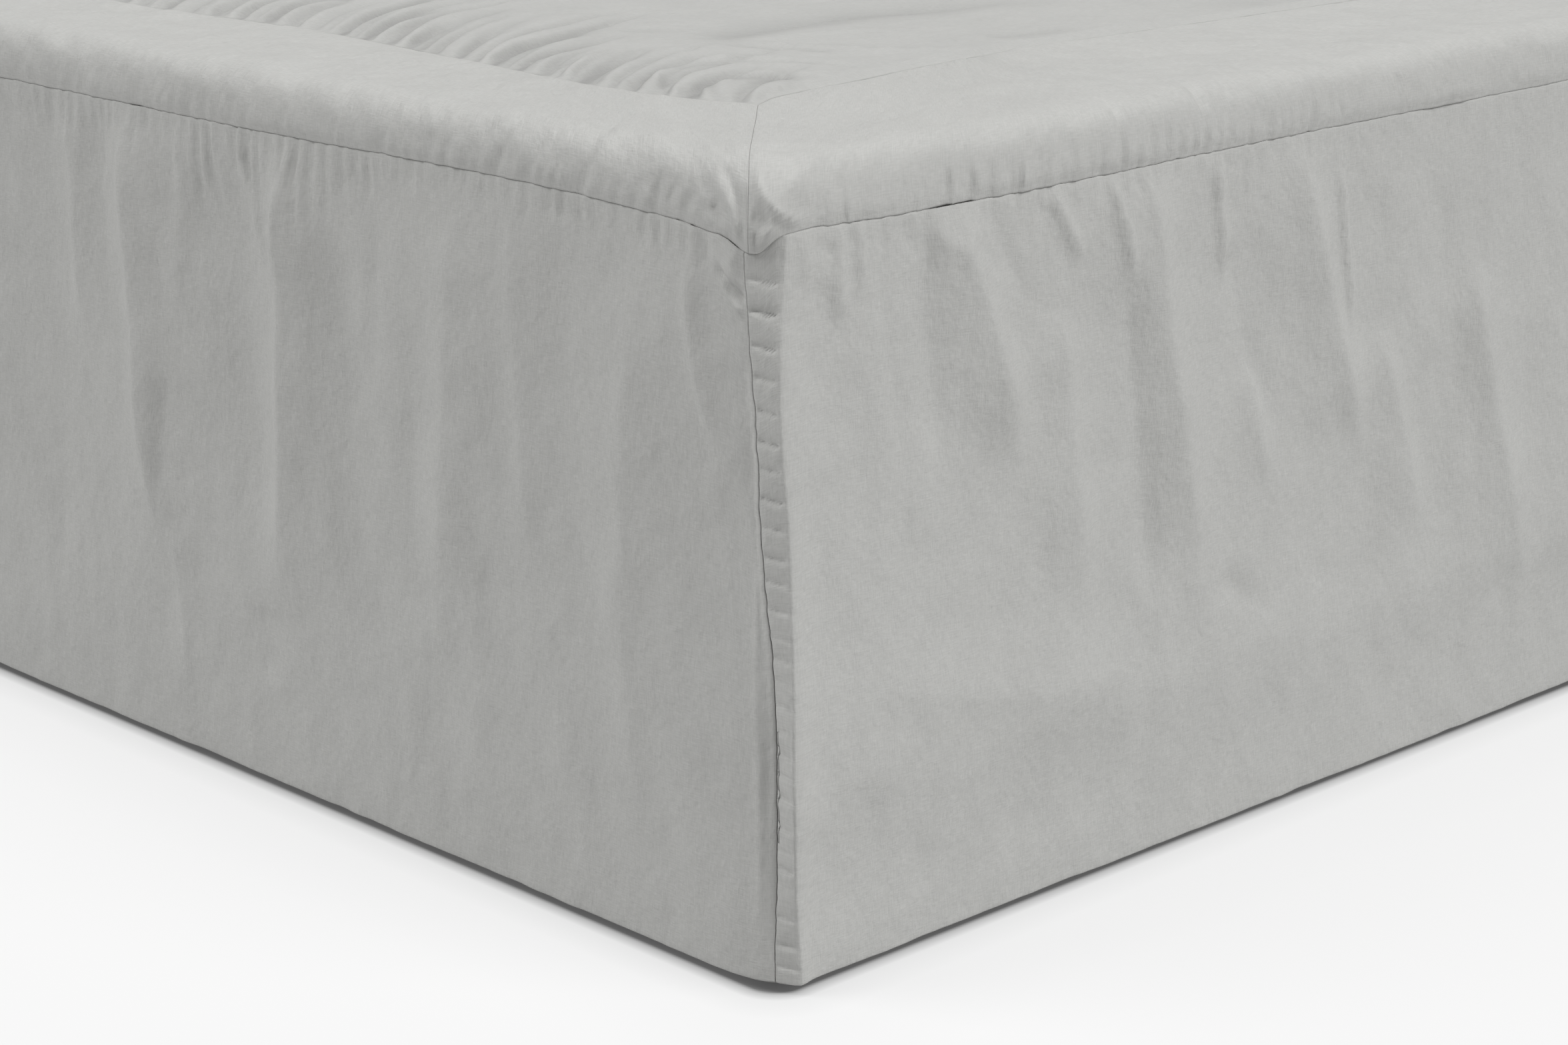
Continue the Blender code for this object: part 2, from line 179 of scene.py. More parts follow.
def along_curve(table, x):
    """The value at x on the smooth line through a table of (x, value) rows."""
    xs, ys = (np.array(column, float) for column in zip(*table))
    slopes = np.gradient(ys, xs)
    x = np.clip(x, xs[0], xs[-1])
    k = np.clip(np.searchsorted(xs, x) - 1, 0, len(xs) - 2)
    step = xs[k + 1] - xs[k]
    t = (x - xs[k]) / step
    rise = ys[k] + (ys[k + 1] - ys[k]) * t * t * (3 - 2 * t)
    return rise + step * t * (1 - t) * (slopes[k] * (1 - t) - slopes[k + 1] * t)


def noise(x, y, seed):
    """Smooth values from -1 to 1 that change from one whole number to the next."""
    size = 64
    table = np.random.RandomState(seed).uniform(-1, 1, (size, size))
    i, j = np.floor(x).astype(int), np.floor(y).astype(int)
    u, v = smooth(x - i), smooth(y - j)
    a, b = i % size, j % size
    c, d = (i + 1) % size, (j + 1) % size
    low = table[a, b] * (1 - u) + table[c, b] * u
    high = table[a, d] * (1 - u) + table[c, d] * u
    return low * (1 - v) + high * v


def ridge_height(x, y, rows):
    """How far the ridges push a place out."""
    total = np.zeros(np.broadcast(x, y).shape)
    x, y = np.broadcast_to(x, total.shape), np.broadcast_to(y, total.shape)
    for row in rows:
        run_x, run_y = row.x1 - row.x0, row.y1 - row.y0
        length = math.hypot(run_x, run_y)
        reach = 3 * max(row.left, row.right) + abs(row.bow)
        near = (x > min(row.x0, row.x1) - reach) & (x < max(row.x0, row.x1) + reach)
        near &= (y > min(row.y0, row.y1) - reach) & (y < max(row.y0, row.y1) + reach)
        px, py = x[near] - row.x0, y[near] - row.y0
        run = (px * run_x + py * run_y) / length**2
        off = (px * run_y - py * run_x) / length - 4 * row.bow * run * (1 - run)
        across = np.exp(-(np.abs(off / np.where(off < 0, row.left, row.right)) ** CREST_POWER))
        total[near] += row.rise * across * smooth(3.5 * run + 0.5) * smooth(2.0 * (1 - run) + 0.3)
    return total


def plan(past, inset, out=0.0):
    """Where a point of a ring lies in plan, from the corner of the two walls: +x out of the side wall and
    +y towards the head. inset is how far in the ring lies, and out how far the point stands off it."""
    turn = np.clip(past / CORNER_RADIUS, 0, math.pi / 2)
    foot_share = 1 - smooth(-past / MITRE_FADE)
    side_share = 1 - smooth((past - CORNER_ARC) / MITRE_FADE)
    x = -CORNER_RADIUS + np.minimum(past, 0) + (CORNER_RADIUS + out) * np.sin(turn) - inset * foot_share
    side = np.maximum(past - CORNER_ARC, 0)
    y = CORNER_RADIUS + side - (CORNER_RADIUS + out) * np.cos(turn) + inset * side_share
    return x, y


def to_frame(x, y, z, sign):
    """Points of the right (1) or left (-1) corner in the frame."""
    x, y, z = np.broadcast_arrays(x, y, z)
    return np.stack([sign * (WALL_X + x), y - WALL_Y, z], axis=-1)


def from_corner(past):
    """The distance from the corner of the two walls, less than 0 on the foot side."""
    on_arc = CORNER_RADIUS * (2 * past / CORNER_ARC - 1)
    beyond = past - CORNER_ARC + CORNER_RADIUS
    return np.where(past < 0, past - CORNER_RADIUS, np.where(past > CORNER_ARC, beyond, on_arc))


# The seam between band and drop, which sags at the corner: (past, how far it sags).
SEAM_SAG = (
    (-400, 0), (-60, 0), (-44, 0.8), (-30, 2.0), (-19, 3.0), (-9, 6.2), (-4, 8.4), (0, 8.6),
    (6, 7.9), (9, 5.2), (14, 1.6), (20, 0.0), (32, -1.0), (46, -0.4), (60, 0), (400, 0),
)
# The corner seam between two drops: (height over the hem, past).
CORNER_SEAM = ((0, 11.4), (150, 11.4), (219, 6.1), (264, 4.4), (310, 0.6), (351, -3.0))
# The crease that ends the pressed strip beside that seam, in the same terms.
STRIP_CREASE = (
    (0, 19.6), (56, 17.8), (88, 17.0), (150, 17.6), (219, 17.0), (264, 15.0), (310, 15.5), (351, 19.6),
)
# The corner seam's stitches draw it about this far to one side and the other.
SEAM_WAVER = 0.45


def corner_lines(share):
    """Stations of the corner seam and of the strip's crease, share of the way up."""
    height = share * DROP_LENGTH
    waver = noise(height / 9, 0.5, 81) + 0.6 * noise(height / 3.4, 0.5, 83)
    return along_curve(CORNER_SEAM, height) + SEAM_WAVER * waver, along_curve(STRIP_CREASE, height)


# How far a drop stands off its wall, away from its folds: (height over the hem, distance).
FOOT_HANG = ((0, 4.0), (60, 4.0), (150, 3.0), (250, 1.6), (351, 0.0))
SIDE_HANG = (
    (0, 6.3), (18, 5.9), (38, 5.4), (62, 6.8), (90, 9.0), (115, 7.8), (150, 5.5), (250, 2.0), (351, 0.0),
)
STRIP_HANG = ((0, 0.8), (150, 0.8), (351, 0.3))
# The far stretch of a side hangs more plainly, and takes over from this station across this distance.
FAR_HANG = ((0, 6.3), (150, 5.5), (250, 2.0), (351, 0.0))
FAR_HANG_FROM, FAR_HANG_FADE = 560.0, 500.0
# The two halves of the foot meet over this distance from its middle.
MIDDLE_FADE = 90.0
# Over this distance from the corner seam the foot drop draws in to the strip.
SEAM_DRAW = 29.0
# By its crease a side drop stands out and leans to the foot, and has a sharper lip right beside it.
CREASE_PROUD, CREASE_FORWARD, CREASE_REACH = 2.8, 2.0, 11.0
CREASE_LIP, LIP_REACH = 1.8, 3.6
# No part of a drop lies deeper than this behind its wall's plane.
MOST_INWARD = -2.6

RIGHT_FOLDS = ridges(
    # the foot, from the corner out
    (-23, 230, -21, 50, 0, 23, 25.3, -3.4),
    (-52, 330, -33, 248, 2, 6, 5, 3.4),
    (-19, 290, -9, 225, 0, 8, 8, -1.6),
    (-86, 320, -89, 60, 8, 36.4, 20.4, 6.4),
    (-142, 332, -132, 240, 0, 11.5, 13.8, -1.3),
    (-175, 335, -165, 170, 0, 19.6, 11, 3.2),
    (-218, 325, -233, 125, 0, 30.8, 17, 5.9),
    (-254, 230, -254, 120, 0, 13.8, 12.6, -1.6),
    (-279, 340, -282, 240, 0, 9.2, 10.3, -1.6),
    (-309, 300, -299, 100, 0, 20.7, 20.7, -2.2),
    (-352, 335, -366, 105, -3, 28, 15.3, 10.1),
    (-348, 345, -360, 280, 0, 5, 4, 2.8),
    (-394, 345, -376, 285, 0, 4, 5, 3),
    (-398, 320, -382, 135, 4, 20.7, 25.3, -4.8),
    (-387, 95, -390, 55, 0, 13.8, 13.8, -2.2),
    (-446, 340, -450, 250, 0, 16.8, 10.2, 3),
    (-494, 338, -480, 103, 3, 28, 15.3, 9.8),
    (-468, 205, -476, 140, 0, 10.3, 10.3, -2.8),
    (-465, 120, -461, 30, 0, 14, 8.5, 2.5),
    (-526, 345, -524, 240, 0, 11.5, 12.6, -1.8),
    (-554, 335, -550, 215, 0, 15.4, 10.2, 3.8),
    (-580, 330, -586, 60, 0, 29.9, 34.5, -3.4),
    # the side, from the corner out
    (39, 350, 41, 306, 0, 3.4, 3, 3.9),
    (54, 350, 54, 318, 0, 3, 3, 2.9),
    (66, 325, 80, 232, 0, 10.3, 9.2, -1.5),
    (87, 345, 105, 235, 0, 14.9, 13.8, -3.7),
    (109, 348, 152, 228, -3, 11.4, 23.6, 10.5),
    (136, 346, 168, 290, 0, 6.9, 6.9, -1.7),
    (180, 345, 199, 312, 0, 4.5, 4, 4.2),
    (184, 280, 198, 148, 0, 12.5, 25.2, 6.3),
    (222, 346, 231, 298, 0, 4, 4, 3.8),
    (230, 290, 254, 130, 0, 12.6, 14.9, -4),
    (246, 340, 288, 133, 3, 17.7, 33.1, 10.8),
    (300, 346, 307, 284, 0, 3.5, 3.5, 3.9),
    (311, 300, 338, 215, 0, 11.5, 11.5, -2.5),
    (326, 235, 342, 175, 0, 5.6, 10.5, 2.9),
    (306, 130, 346, 108, 0, 10.3, 8, -2.5),
    (363, 338, 422, 178, 4, 10.4, 22.1, 9),
    (398, 325, 410, 242, 0, 3.2, 2.6, 3.8),
    (436, 232, 472, 122, 0, 9.4, 20.5, 5.8),
    (490, 300, 506, 170, 0, 16.1, 16.1, -2.8),
    (513, 252, 559, 88, 0, 15.6, 29.9, 8.2),
    (71, 128, 241, 100, 6, 17.6, 21, 3.8),
)
LEFT_FOLDS = ridges(
    (-560, 320, -548, 120, -3, 15, 20, 4),
    (-455, 330, -440, 150, 3, 20, 18, -2.6),
    (-330, 335, -352, 95, -4, 20, 16, 4.6),
    (-190, 315, -181, 140, 0, 18, 22, 3.2),
    (-80, 325, -92, 90, 5, 18, 18, 3.2),
    (84, 340, 118, 210, -3, 17, 14, 4.2),
    (176, 300, 190, 120, 0, 14, 16, 3),
    (286, 330, 330, 150, 3, 18, 15, 4.8),
    (300, 280, 352, 110, 0, 14, 14, -2.4),
    (430, 335, 462, 165, -4, 15, 16, 4),
    (541, 260, 575, 90, 0, 18, 18, 3.4),
)
# Where the cloth of the right corner is drawn together under the seam.
CORNER_PUCKERS = ridges(
    (-26, 358, -20, 326, 0, 9, 12, 3.6),
    (-43, 354, -40, 332, 0, 2.6, 2.2, -2),
    (-33, 334, -11, 319, 1.5, 1.8, 2.6, -3),
    (-30, 328, -9, 311, 2, 3.4, 2.2, 2),
    (-17, 350, -15, 338, 0, 2.6, 2.4, -1.6),
    (-52, 354, -49, 334, 0, 3, 3, 1.4),
    (-12, 262, -8, 200, 0, 5, 4, -1.4),
    (-11, 200, -10, 112, 1, 1.6, 1.8, 0.8),
    (-9, 118, -8, 12, 0.8, 2.2, 2.4, 1.1),
    (20, 350, 22, 326, 0, 3, 2.4, 1.8),
    (26, 344, 44, 336, 0, 4, 3, -1.6),
    (31, 352, 33, 322, 0, 3, 3, 1.2),
)

FAR_FOLDS_FROM = 640.0
FAR_FOLDS_TO = 1960.0
FAR_PITCH = (75.0, 150.0)
FAR_TOP_HEIGHT = (260.0, 340.0)
FAR_LOW_HEIGHT = (60.0, 150.0)
FAR_LEAN = (5.0, 45.0)
FAR_HALF_WIDTH = (16.0, 26.0)
FAR_PROUD = (2.5, 5.0)
FAR_SEEDS = {1: 11, -1: 12}


def far_folds(sign):
    """Folds for the far stretch of the right or left side drop."""
    chance = np.random.RandomState(FAR_SEEDS[sign])
    folds, at = [], FAR_FOLDS_FROM
    while at < FAR_FOLDS_TO:
        top_height, low_height = chance.uniform(*FAR_TOP_HEIGHT), chance.uniform(*FAR_LOW_HEIGHT)
        low_at = at + chance.uniform(*FAR_LEAN)
        before, after = chance.uniform(*FAR_HALF_WIDTH, 2)
        proud = chance.uniform(*FAR_PROUD)
        folds.append(Ridge(at, top_height, low_at, low_height, 0, after, before, proud))
        at += chance.uniform(*FAR_PITCH)
    return folds


def gathers(seed, stretches):
    """Short puckers that run down from a seam: (start, stop, pitch, reach, half width, depth) rows."""
    chance = np.random.RandomState(seed)
    rows = []
    for start, stop, pitch, reach, width, depth in stretches:
        at = start
        while at < stop:
            long = chance.rand() < 0.3
            length = reach * chance.uniform(0.5, 1.2) * (2.0 if long else 1.0)
            half = width * chance.uniform(0.7, 1.4)
            lean = chance.uniform(-0.12, 0.2) * length
            rise = -depth * chance.uniform(0.35, 1.0)
            beside = at + 1.7 * half
            rows.append(Ridge(at, -0.35 * length, at + lean, length, 0, half, half, rise))
            rows.append(Ridge(beside, -0.3 * length, beside + lean, 0.8 * length, 0, half, half, -0.6 * rise))
            at += pitch * chance.uniform(0.5, 1.6)
    return rows


DROP_GATHERS = {
    1: (
        (-640, -420, 8.5, 22, 2.3, 1.9),
        (-420, -280, 8.0, 26, 2.4, 2.6),
        (-280, -150, 9.0, 16, 2.2, 1.8),
        (-150, -46, 6.0, 17, 1.9, 2.4),
        (36, 70, 8.0, 14, 1.8, 1.5),
        (70, 240, 9.5, 16, 2.2, 1.8),
        (240, 420, 11.0, 15, 2.3, 1.5),
        (420, 640, 18.0, 13, 3.0, 0.86),
        (640, 1980, 40.0, 24, 9.0, 1.9),
    ),
    -1: (
        (-740, -46, 22.0, 20, 5.0, 0.9),
        (36, 1980, 40.0, 24, 9.0, 0.9),
    ),
}


def seam_sag(past):
    """How far the seam between band and drop sags. Its gathers make it waver, most of all by the corner."""
    waver = 0.7 * noise(past / 7.5, 0.5, 85) + 0.5 * noise(past / 3.1, 0.5, 87)
    return along_curve(SEAM_SAG, past) + (0.22 + 0.5 * np.exp(-((past / 38) ** 2))) * waver


def seam_height(past):
    return SEAM_HEIGHT - seam_sag(past)


def drop_relief(past, height, sign):
    """How far the folds, gathers and small unevenness of a drop push it out."""
    at = from_corner(past)
    below = seam_height(past) - HEM_HEIGHT - height
    rows = [*(RIGHT_FOLDS if sign > 0 else LEFT_FOLDS), *far_folds(sign)]
    if sign > 0:
        rows += CORNER_PUCKERS
    relief = ridge_height(at, height, rows)
    relief += ridge_height(at, below, gathers(5 + sign, DROP_GATHERS[sign]))
    relief *= 0.3 + 0.7 * smooth((height + 10) / 90)
    free = smooth(below / 60) * (0.25 + 0.75 * smooth(height / 110))
    relief += 2.6 * free * noise(at / 85, height / 150, 21 + sign)
    relief += 1.5 * free * noise(at / 32 + height / 160, height / 60, 23 + sign)
    relief += 0.5 * noise(at / 13, height / 19, 25 + sign)
    relief += 0.13 * noise(at / 5, height / 6, 27 + sign)
    relief *= smooth((past + FOOT_HALF) / MIDDLE_FADE)
    below = np.maximum(below, 0)
    relief *= 0.6 + 0.4 * smooth((below + 3) / 20)
    # Close under the band the cloth can lie neither deep nor proud.
    return np.clip(relief, -0.35 - 0.3 * below, 0.9 + 0.42 * below)


def held_off(out):
    """Keeps the cloth off the base behind it."""
    return MOST_INWARD + 1.2 * np.log1p(np.exp((out - MOST_INWARD) / 1.2))


# Along a piece's edge that is sewn, the cloth turns in: (how far along, how deep).
TURNED_EDGE = ((0.0, 1.3), (0.03, 0.45), (0.16, 0.12), (0.46, 0.0))
HEM_RADIUS = 1.1
HEM_TURN = math.radians(150)
LIP_RADIUS = 1.1
LIP_TURN = math.radians(95)
# The cloth that a turned edge takes, and the gap between the lips of band and drop.
TURNED_CLOTH = 2.0
SEAM_SPLIT = 0.1
# A drop's upper edge reaches this far up behind the lip of its band.
SEAM_TUCK = 0.35
# The pitch of a fine patch is this many times finer up its columns.
FINE = 3

# Rungs in the pressed strip, where the allowances inside it pucker: (height, depth).
RUNGS = (
    (8, 0.35), (19, 0.55), (33, 0.5), (48, 0.35), (57, 0.6), (66, 0.4), (77, 0.5), (92, 0.6), (103, 0.35),
    (113, 0.55), (124, 0.4), (136, 0.5), (147, 0.45), (158, 0.6), (168, 0.4), (181, 0.55), (194, 0.5),
    (205, 0.6), (219, 0.5), (232, 0.7), (246, 0.55), (258, 0.8), (272, 0.7), (287, 0.8), (301, 0.7),
    (316, 0.9), (330, 0.5),
)
# The bulge between two rungs, over the straight line from seam to crease.
STRIP_BULGE = 0.75
# A rung's dip fades out over these distances above it and below it.
RUNG_ABOVE, RUNG_BELOW = 3.0, 0.8


def strip_relief(height, share):
    """The pressed strip bulges between its rungs and dips at each one, with the sharper side below."""
    dips = np.zeros(np.broadcast(height, share).shape)
    for rung, depth in RUNGS:
        off = height - rung + 1.2 * (share - 0.5)
        dips += 2.8 * depth * np.where(off > 0, np.exp(-off / RUNG_ABOVE), np.exp(off / RUNG_BELOW))
    return (STRIP_BULGE - dips) * smooth(share / 0.16) * smooth((1 - share) / 0.25)


def drop_points(past, share, lip, hem, tuck, sign, is_side):
    """Points of a drop's outer face. share runs from 0 at the hem to 1 at the upper seam, lip is how far
    the row has turned in over the upper edge, hem under the lower one, and tuck how deep the column lies."""
    top = seam_height(past) + SEAM_TUCK - HEM_HEIGHT
    height = HEM_RADIUS + share * (top - HEM_RADIUS - LIP_RADIUS)
    seam, crease = corner_lines(share)
    foot, side = along_curve(FOOT_HANG, height), along_curve(SIDE_HANG, height)
    side = side + (along_curve(FAR_HANG, height) - side) * smooth((past - FAR_HANG_FROM) / FAR_HANG_FADE)
    strip = along_curve(STRIP_HANG, height)
    relief = drop_relief(past, height, sign)
    turned_in = LIP_RADIUS * (1 - np.cos(lip * LIP_TURN)) + HEM_RADIUS * (1 - np.cos(hem * HEM_TURN)) + tuck
    if is_side:
        in_strip = np.clip((past - seam) / (crease - seam), 0, 1)
        beside = np.maximum(past - crease, 0)
        by_crease = np.exp(-((beside / CREASE_REACH) ** 2)) * smooth(height / 60)
        side = side + CREASE_PROUD * by_crease * smooth((330 - height) / 50)
        side = side + CREASE_LIP * np.exp(-((beside / LIP_REACH) ** 2)) * smooth((340 - height) / 40)
        forward = CREASE_FORWARD * by_crease
        out = side + relief * smooth((past - crease) / 12)
        x, y = plan(past, 0.0, held_off(out) - turned_in)
        y = y - forward
        x0, y0 = plan(seam, 0.0, strip - turned_in)
        x1, y1 = plan(crease, 0.0, side - turned_in)
        y1 = y1 - forward
        length = np.hypot(x1 - x0, y1 - y0)
        bulge = strip_relief(height, in_strip)
        flat_x = x0 + (x1 - x0) * in_strip + bulge * (y1 - y0) / length
        flat_y = y0 + (y1 - y0) * in_strip - bulge * (x1 - x0) / length
        inside = past < crease
        x, y = np.where(inside, flat_x, x), np.where(inside, flat_y, y)
    else:
        relief = np.minimum(relief, 0.5 + 0.34 * (seam - past)) * smooth((seam - past) / 5.0)
        out = foot + (strip - foot) * smooth((past - seam) / SEAM_DRAW + 1) + relief
        x, y = plan(past, 0.0, held_off(out) - turned_in)
    z = HEM_HEIGHT + height + LIP_RADIUS * np.sin(lip * LIP_TURN) - HEM_RADIUS * np.sin(hem * HEM_TURN)
    return to_frame(x, y, z, sign)


def stretch(*rows):
    """Places along a line: (start, stop, pitch) rows, one after the other."""
    places = []
    for start, stop, pitch in rows:
        count = max(1, round(abs(stop - start) / pitch))
        places.extend(np.linspace(start, stop, count, endpoint=False))
    return np.array([*places, rows[-1][1]])


def grid_faces(rows, columns, start=0):
    first = (start + np.arange(rows - 1)[:, None] * columns + np.arange(columns - 1)).reshape(-1)
    return np.stack([first, first + 1, first + columns + 1, first + columns], axis=-1)


def add_cloth(name, points, uv, faces, thickness, material):
    """A piece whose outer face is given, with its thickness behind it. uv is the place in the cut cloth, and
    is kept in metres."""
    mesh = bpy.data.meshes.new(name)
    mesh.from_pydata((points.reshape(-1, 3) * MM).tolist(), [], [list(face) for face in faces])
    layer = mesh.uv_layers.new(name="cloth")
    at = np.zeros(len(mesh.loops), np.int32)
    mesh.loops.foreach_get("vertex_index", at)
    layer.data.foreach_set("uv", (uv.reshape(-1, 2)[at] * MM).astype(np.float32).ravel())
    mesh.shade_smooth()
    mesh.materials.append(material)
    piece = add_object(name, mesh)
    shell = piece.modifiers.new("thickness", "SOLIDIFY")
    shell.thickness = thickness * MM
    shell.offset = -1
    return piece


def add_grid(name, points, uv, thickness, material):
    return add_cloth(name, points, uv, grid_faces(*points.shape[:2]), thickness, material)


def two_pitch_sheet(coarse, fine, coarse_uv, fine_uv, fine_first):
    """Joins a grid to one that is FINE times finer, which holds the column that they share."""
    rows, columns = coarse.shape[:2]
    fine_rows, fine_columns = fine.shape[:2]
    points = np.concatenate([coarse.reshape(-1, 3), fine.reshape(-1, 3)])
    uv = np.concatenate([coarse_uv.reshape(-1, 2), fine_uv.reshape(-1, 2)])
    start = rows * columns
    faces = [*grid_faces(rows, columns), *grid_faces(fine_rows, fine_columns, start)]
    edge = fine_columns - 1 if fine_first else 0
    for row in range(rows - 1):
        shared = [start + (row * FINE + k) * fine_columns + edge for k in range(FINE + 1)]
        if fine_first:
            faces.append([*shared[::-1], row * columns, (row + 1) * columns])
        else:
            last = row * columns + columns - 1
            faces.append([last, *shared, last + columns])
    return points, uv, faces


def drop_rows():
    """(share, lip, hem) for each row of a drop, from inside the hem to inside the upper seam."""
    share = stretch((0, 0.03, 0.006), (0.03, 0.86, 0.0095), (0.86, 1, 0.006))
    rows = [(0, 0, 1.0), (0, 0, 0.6), (0, 0, 0.25)]
    rows += [(value, 0, 0) for value in share]
    rows += [(1, 0.35, 0), (1, 0.7, 0), (1, 1.0, 0)]
    return np.array(rows)


def finer(rows):
    places = np.arange((len(rows) - 1) * FINE + 1) / FINE
    return np.stack([np.interp(places, np.arange(len(rows)), column) for column in rows.T], axis=-1)


def turned_columns(side):
    """past and tuck of the columns that turn in at a seam: on the seam's foot side (-1) or past it (1)."""
    rows = TURNED_EDGE[::-1] if side < 0 else TURNED_EDGE
    return np.array([(side * (along + 0.04), deep) for along, deep in rows])


def halves(left, right):
    """A foot piece's grid, from its left half, which runs out from the middle, and its right half."""
    return np.concatenate([left[:, :0:-1], right], axis=1)


def with_edge(places, edge, depth=1.0):
    """Stations and tucks of columns that end in turned ones, which lie depth times as deep."""
    return np.concatenate([places, edge[:, 0]]), np.concatenate([np.zeros(len(places)), edge[:, 1] * depth])


def drop_patch(past, tuck, rows, sign, is_side):
    """Points and cloth coordinates of one patch. past has the stations of every row."""
    share, lip, hem = (column[:, None] for column in rows.T)
    points = drop_points(past, share, lip, hem, tuck, sign, is_side)
    height = share * DROP_LENGTH + TURNED_CLOTH * lip - TURNED_CLOTH * hem
    uv = np.stack(np.broadcast_arrays(sign * past, height), axis=-1)
    return points, uv


def foot_columns(rows, places, tuck):
    """Columns of a foot drop: places crowd up to the corner seam as it leans."""
    seam, _ = corner_lines(rows[:, :1])
    return places + seam * smooth(1 + places / 45), np.broadcast_to(tuck, (len(rows), len(places)))


CREASE_FADE = 45.0
STRIP_COLUMNS = 10
LEFT_STRIP_COLUMNS = 5
# Keeps the crease's own column in the pressed strip.
JUST_INSIDE = 1e-6


def side_columns(rows, places):
    """Columns of a side drop past the strip's crease, which lean with it and soon stand upright."""
    _, crease = corner_lines(rows[:, :1])
    return places + crease * (1 - smooth(places / CREASE_FADE)) + CORNER_ARC * smooth(places / CREASE_FADE)


def strip_columns(rows, edge, shares):
    """Stations and tucks across the pressed strip: its turned edge, then shares of the way to the crease."""
    seam, crease = corner_lines(rows[:, :1])
    flat = np.zeros(len(shares))
    across = np.concatenate([np.zeros(len(edge)), shares])
    past = seam + (crease - seam) * across + np.concatenate([edge[:, 0], flat])
    return past - JUST_INSIDE, np.concatenate([edge[:, 1], flat])


def make_drop_foot(material):
    rows = drop_rows()
    edge = turned_columns(-1)
    # the left part, then the right part up to the fine patch by the corner seam
    past, tuck = foot_columns(rows, *with_edge(stretch((-FOOT_HALF, -45, 12), (-45, -2, 5)), edge))
    left, left_uv = drop_patch(past, tuck, rows, -1, False)
    near = stretch((-FOOT_HALF, -640, 14), (-640, -580, 4), (-580, -14, 2.5))
    past, tuck = foot_columns(rows, near, np.zeros(len(near)))
    right, right_uv = drop_patch(past, tuck, rows, 1, False)
    coarse, coarse_uv = halves(left, right[:, :-1]), halves(left_uv, right_uv[:, :-1])
    fine_rows = finer(rows)
    past, tuck = foot_columns(fine_rows, *with_edge(stretch((-14, -1.8, 1.1)), edge))
    fine, fine_uv = drop_patch(past, tuck, fine_rows, 1, False)
    points, uv, faces = two_pitch_sheet(coarse, fine, coarse_uv, fine_uv, False)
    return add_cloth("foot_drop", points, uv, faces, CLOTH_THICKNESS, material)


def make_drop_right(material):
    rows, fine_rows = drop_rows(), finer(drop_rows())
    shares = [0.1, *np.linspace(0.2, 1, STRIP_COLUMNS - 1)]
    past, tuck = strip_columns(fine_rows, turned_columns(1), shares)
    fine, fine_uv = drop_patch(past, tuck, fine_rows, 1, True)
    places = stretch((0.8, 4, 1.0), (4, 560, 2.5), (560, 640, 4), (640, HEAD_PAST - CORNER_ARC, 14))
    coarse, coarse_uv = drop_patch(side_columns(rows, places), 0.0, rows, 1, True)
    points, uv, faces = two_pitch_sheet(coarse, fine, coarse_uv, fine_uv, True)
    return add_cloth("right_drop", points, uv, faces, CLOTH_THICKNESS, material)


def make_drop_left(material):
    rows = drop_rows()
    past, tuck = strip_columns(rows, turned_columns(1), np.linspace(0.2, 1, LEFT_STRIP_COLUMNS))
    places = stretch((1.5, 45, 6), (45, HEAD_PAST - CORNER_ARC, 14))
    past = np.concatenate([past, side_columns(rows, places)], axis=1)
    tuck = np.concatenate([tuck, np.zeros(len(places))])
    points, uv = drop_patch(past, tuck, rows, -1, True)
    return add_grid("left_drop", points[:, ::-1], uv[:, ::-1], CLOTH_THICKNESS, material)


# ------------------------ border bands

# The seams that join the deck to its bands: (distance from the corner, distance in from the wall).
INNER_X, INNER_Y = 127.0, 112.5
FOOT_SEAM = (
    (0, INNER_Y), (INNER_X, INNER_Y), (150, 105), (180, 98), (280, 97), (330, 100), (400, 105), (480, 108),
    (540, 104), (600, 97), (766, 103),
)
SIDE_SEAM = (
    (0, INNER_X), (INNER_Y, INNER_X), (130, 136), (150, 140), (200, 145), (230, 150), (290, 155), (340, 158),
    (400, 155), (500, 150), (2100, 150),
)

# The band bulges right over its seam, and its flat part lofts a little.
BAND_BULGE, BAND_BULGE_RISE, BAND_LOFT = 1.8, 11.0, 0.9
# How deep its mitred edge turns in, as a share of a drop's.
MITRE_DEPTH = 0.3
# The padding pushes the band this far out of a true quarter circle, halfway over the edge.
ROLL_SQUARE = 3.0
BAND_LIP_RADIUS = 1.3
BAND_LIP_TURN = math.radians(115)

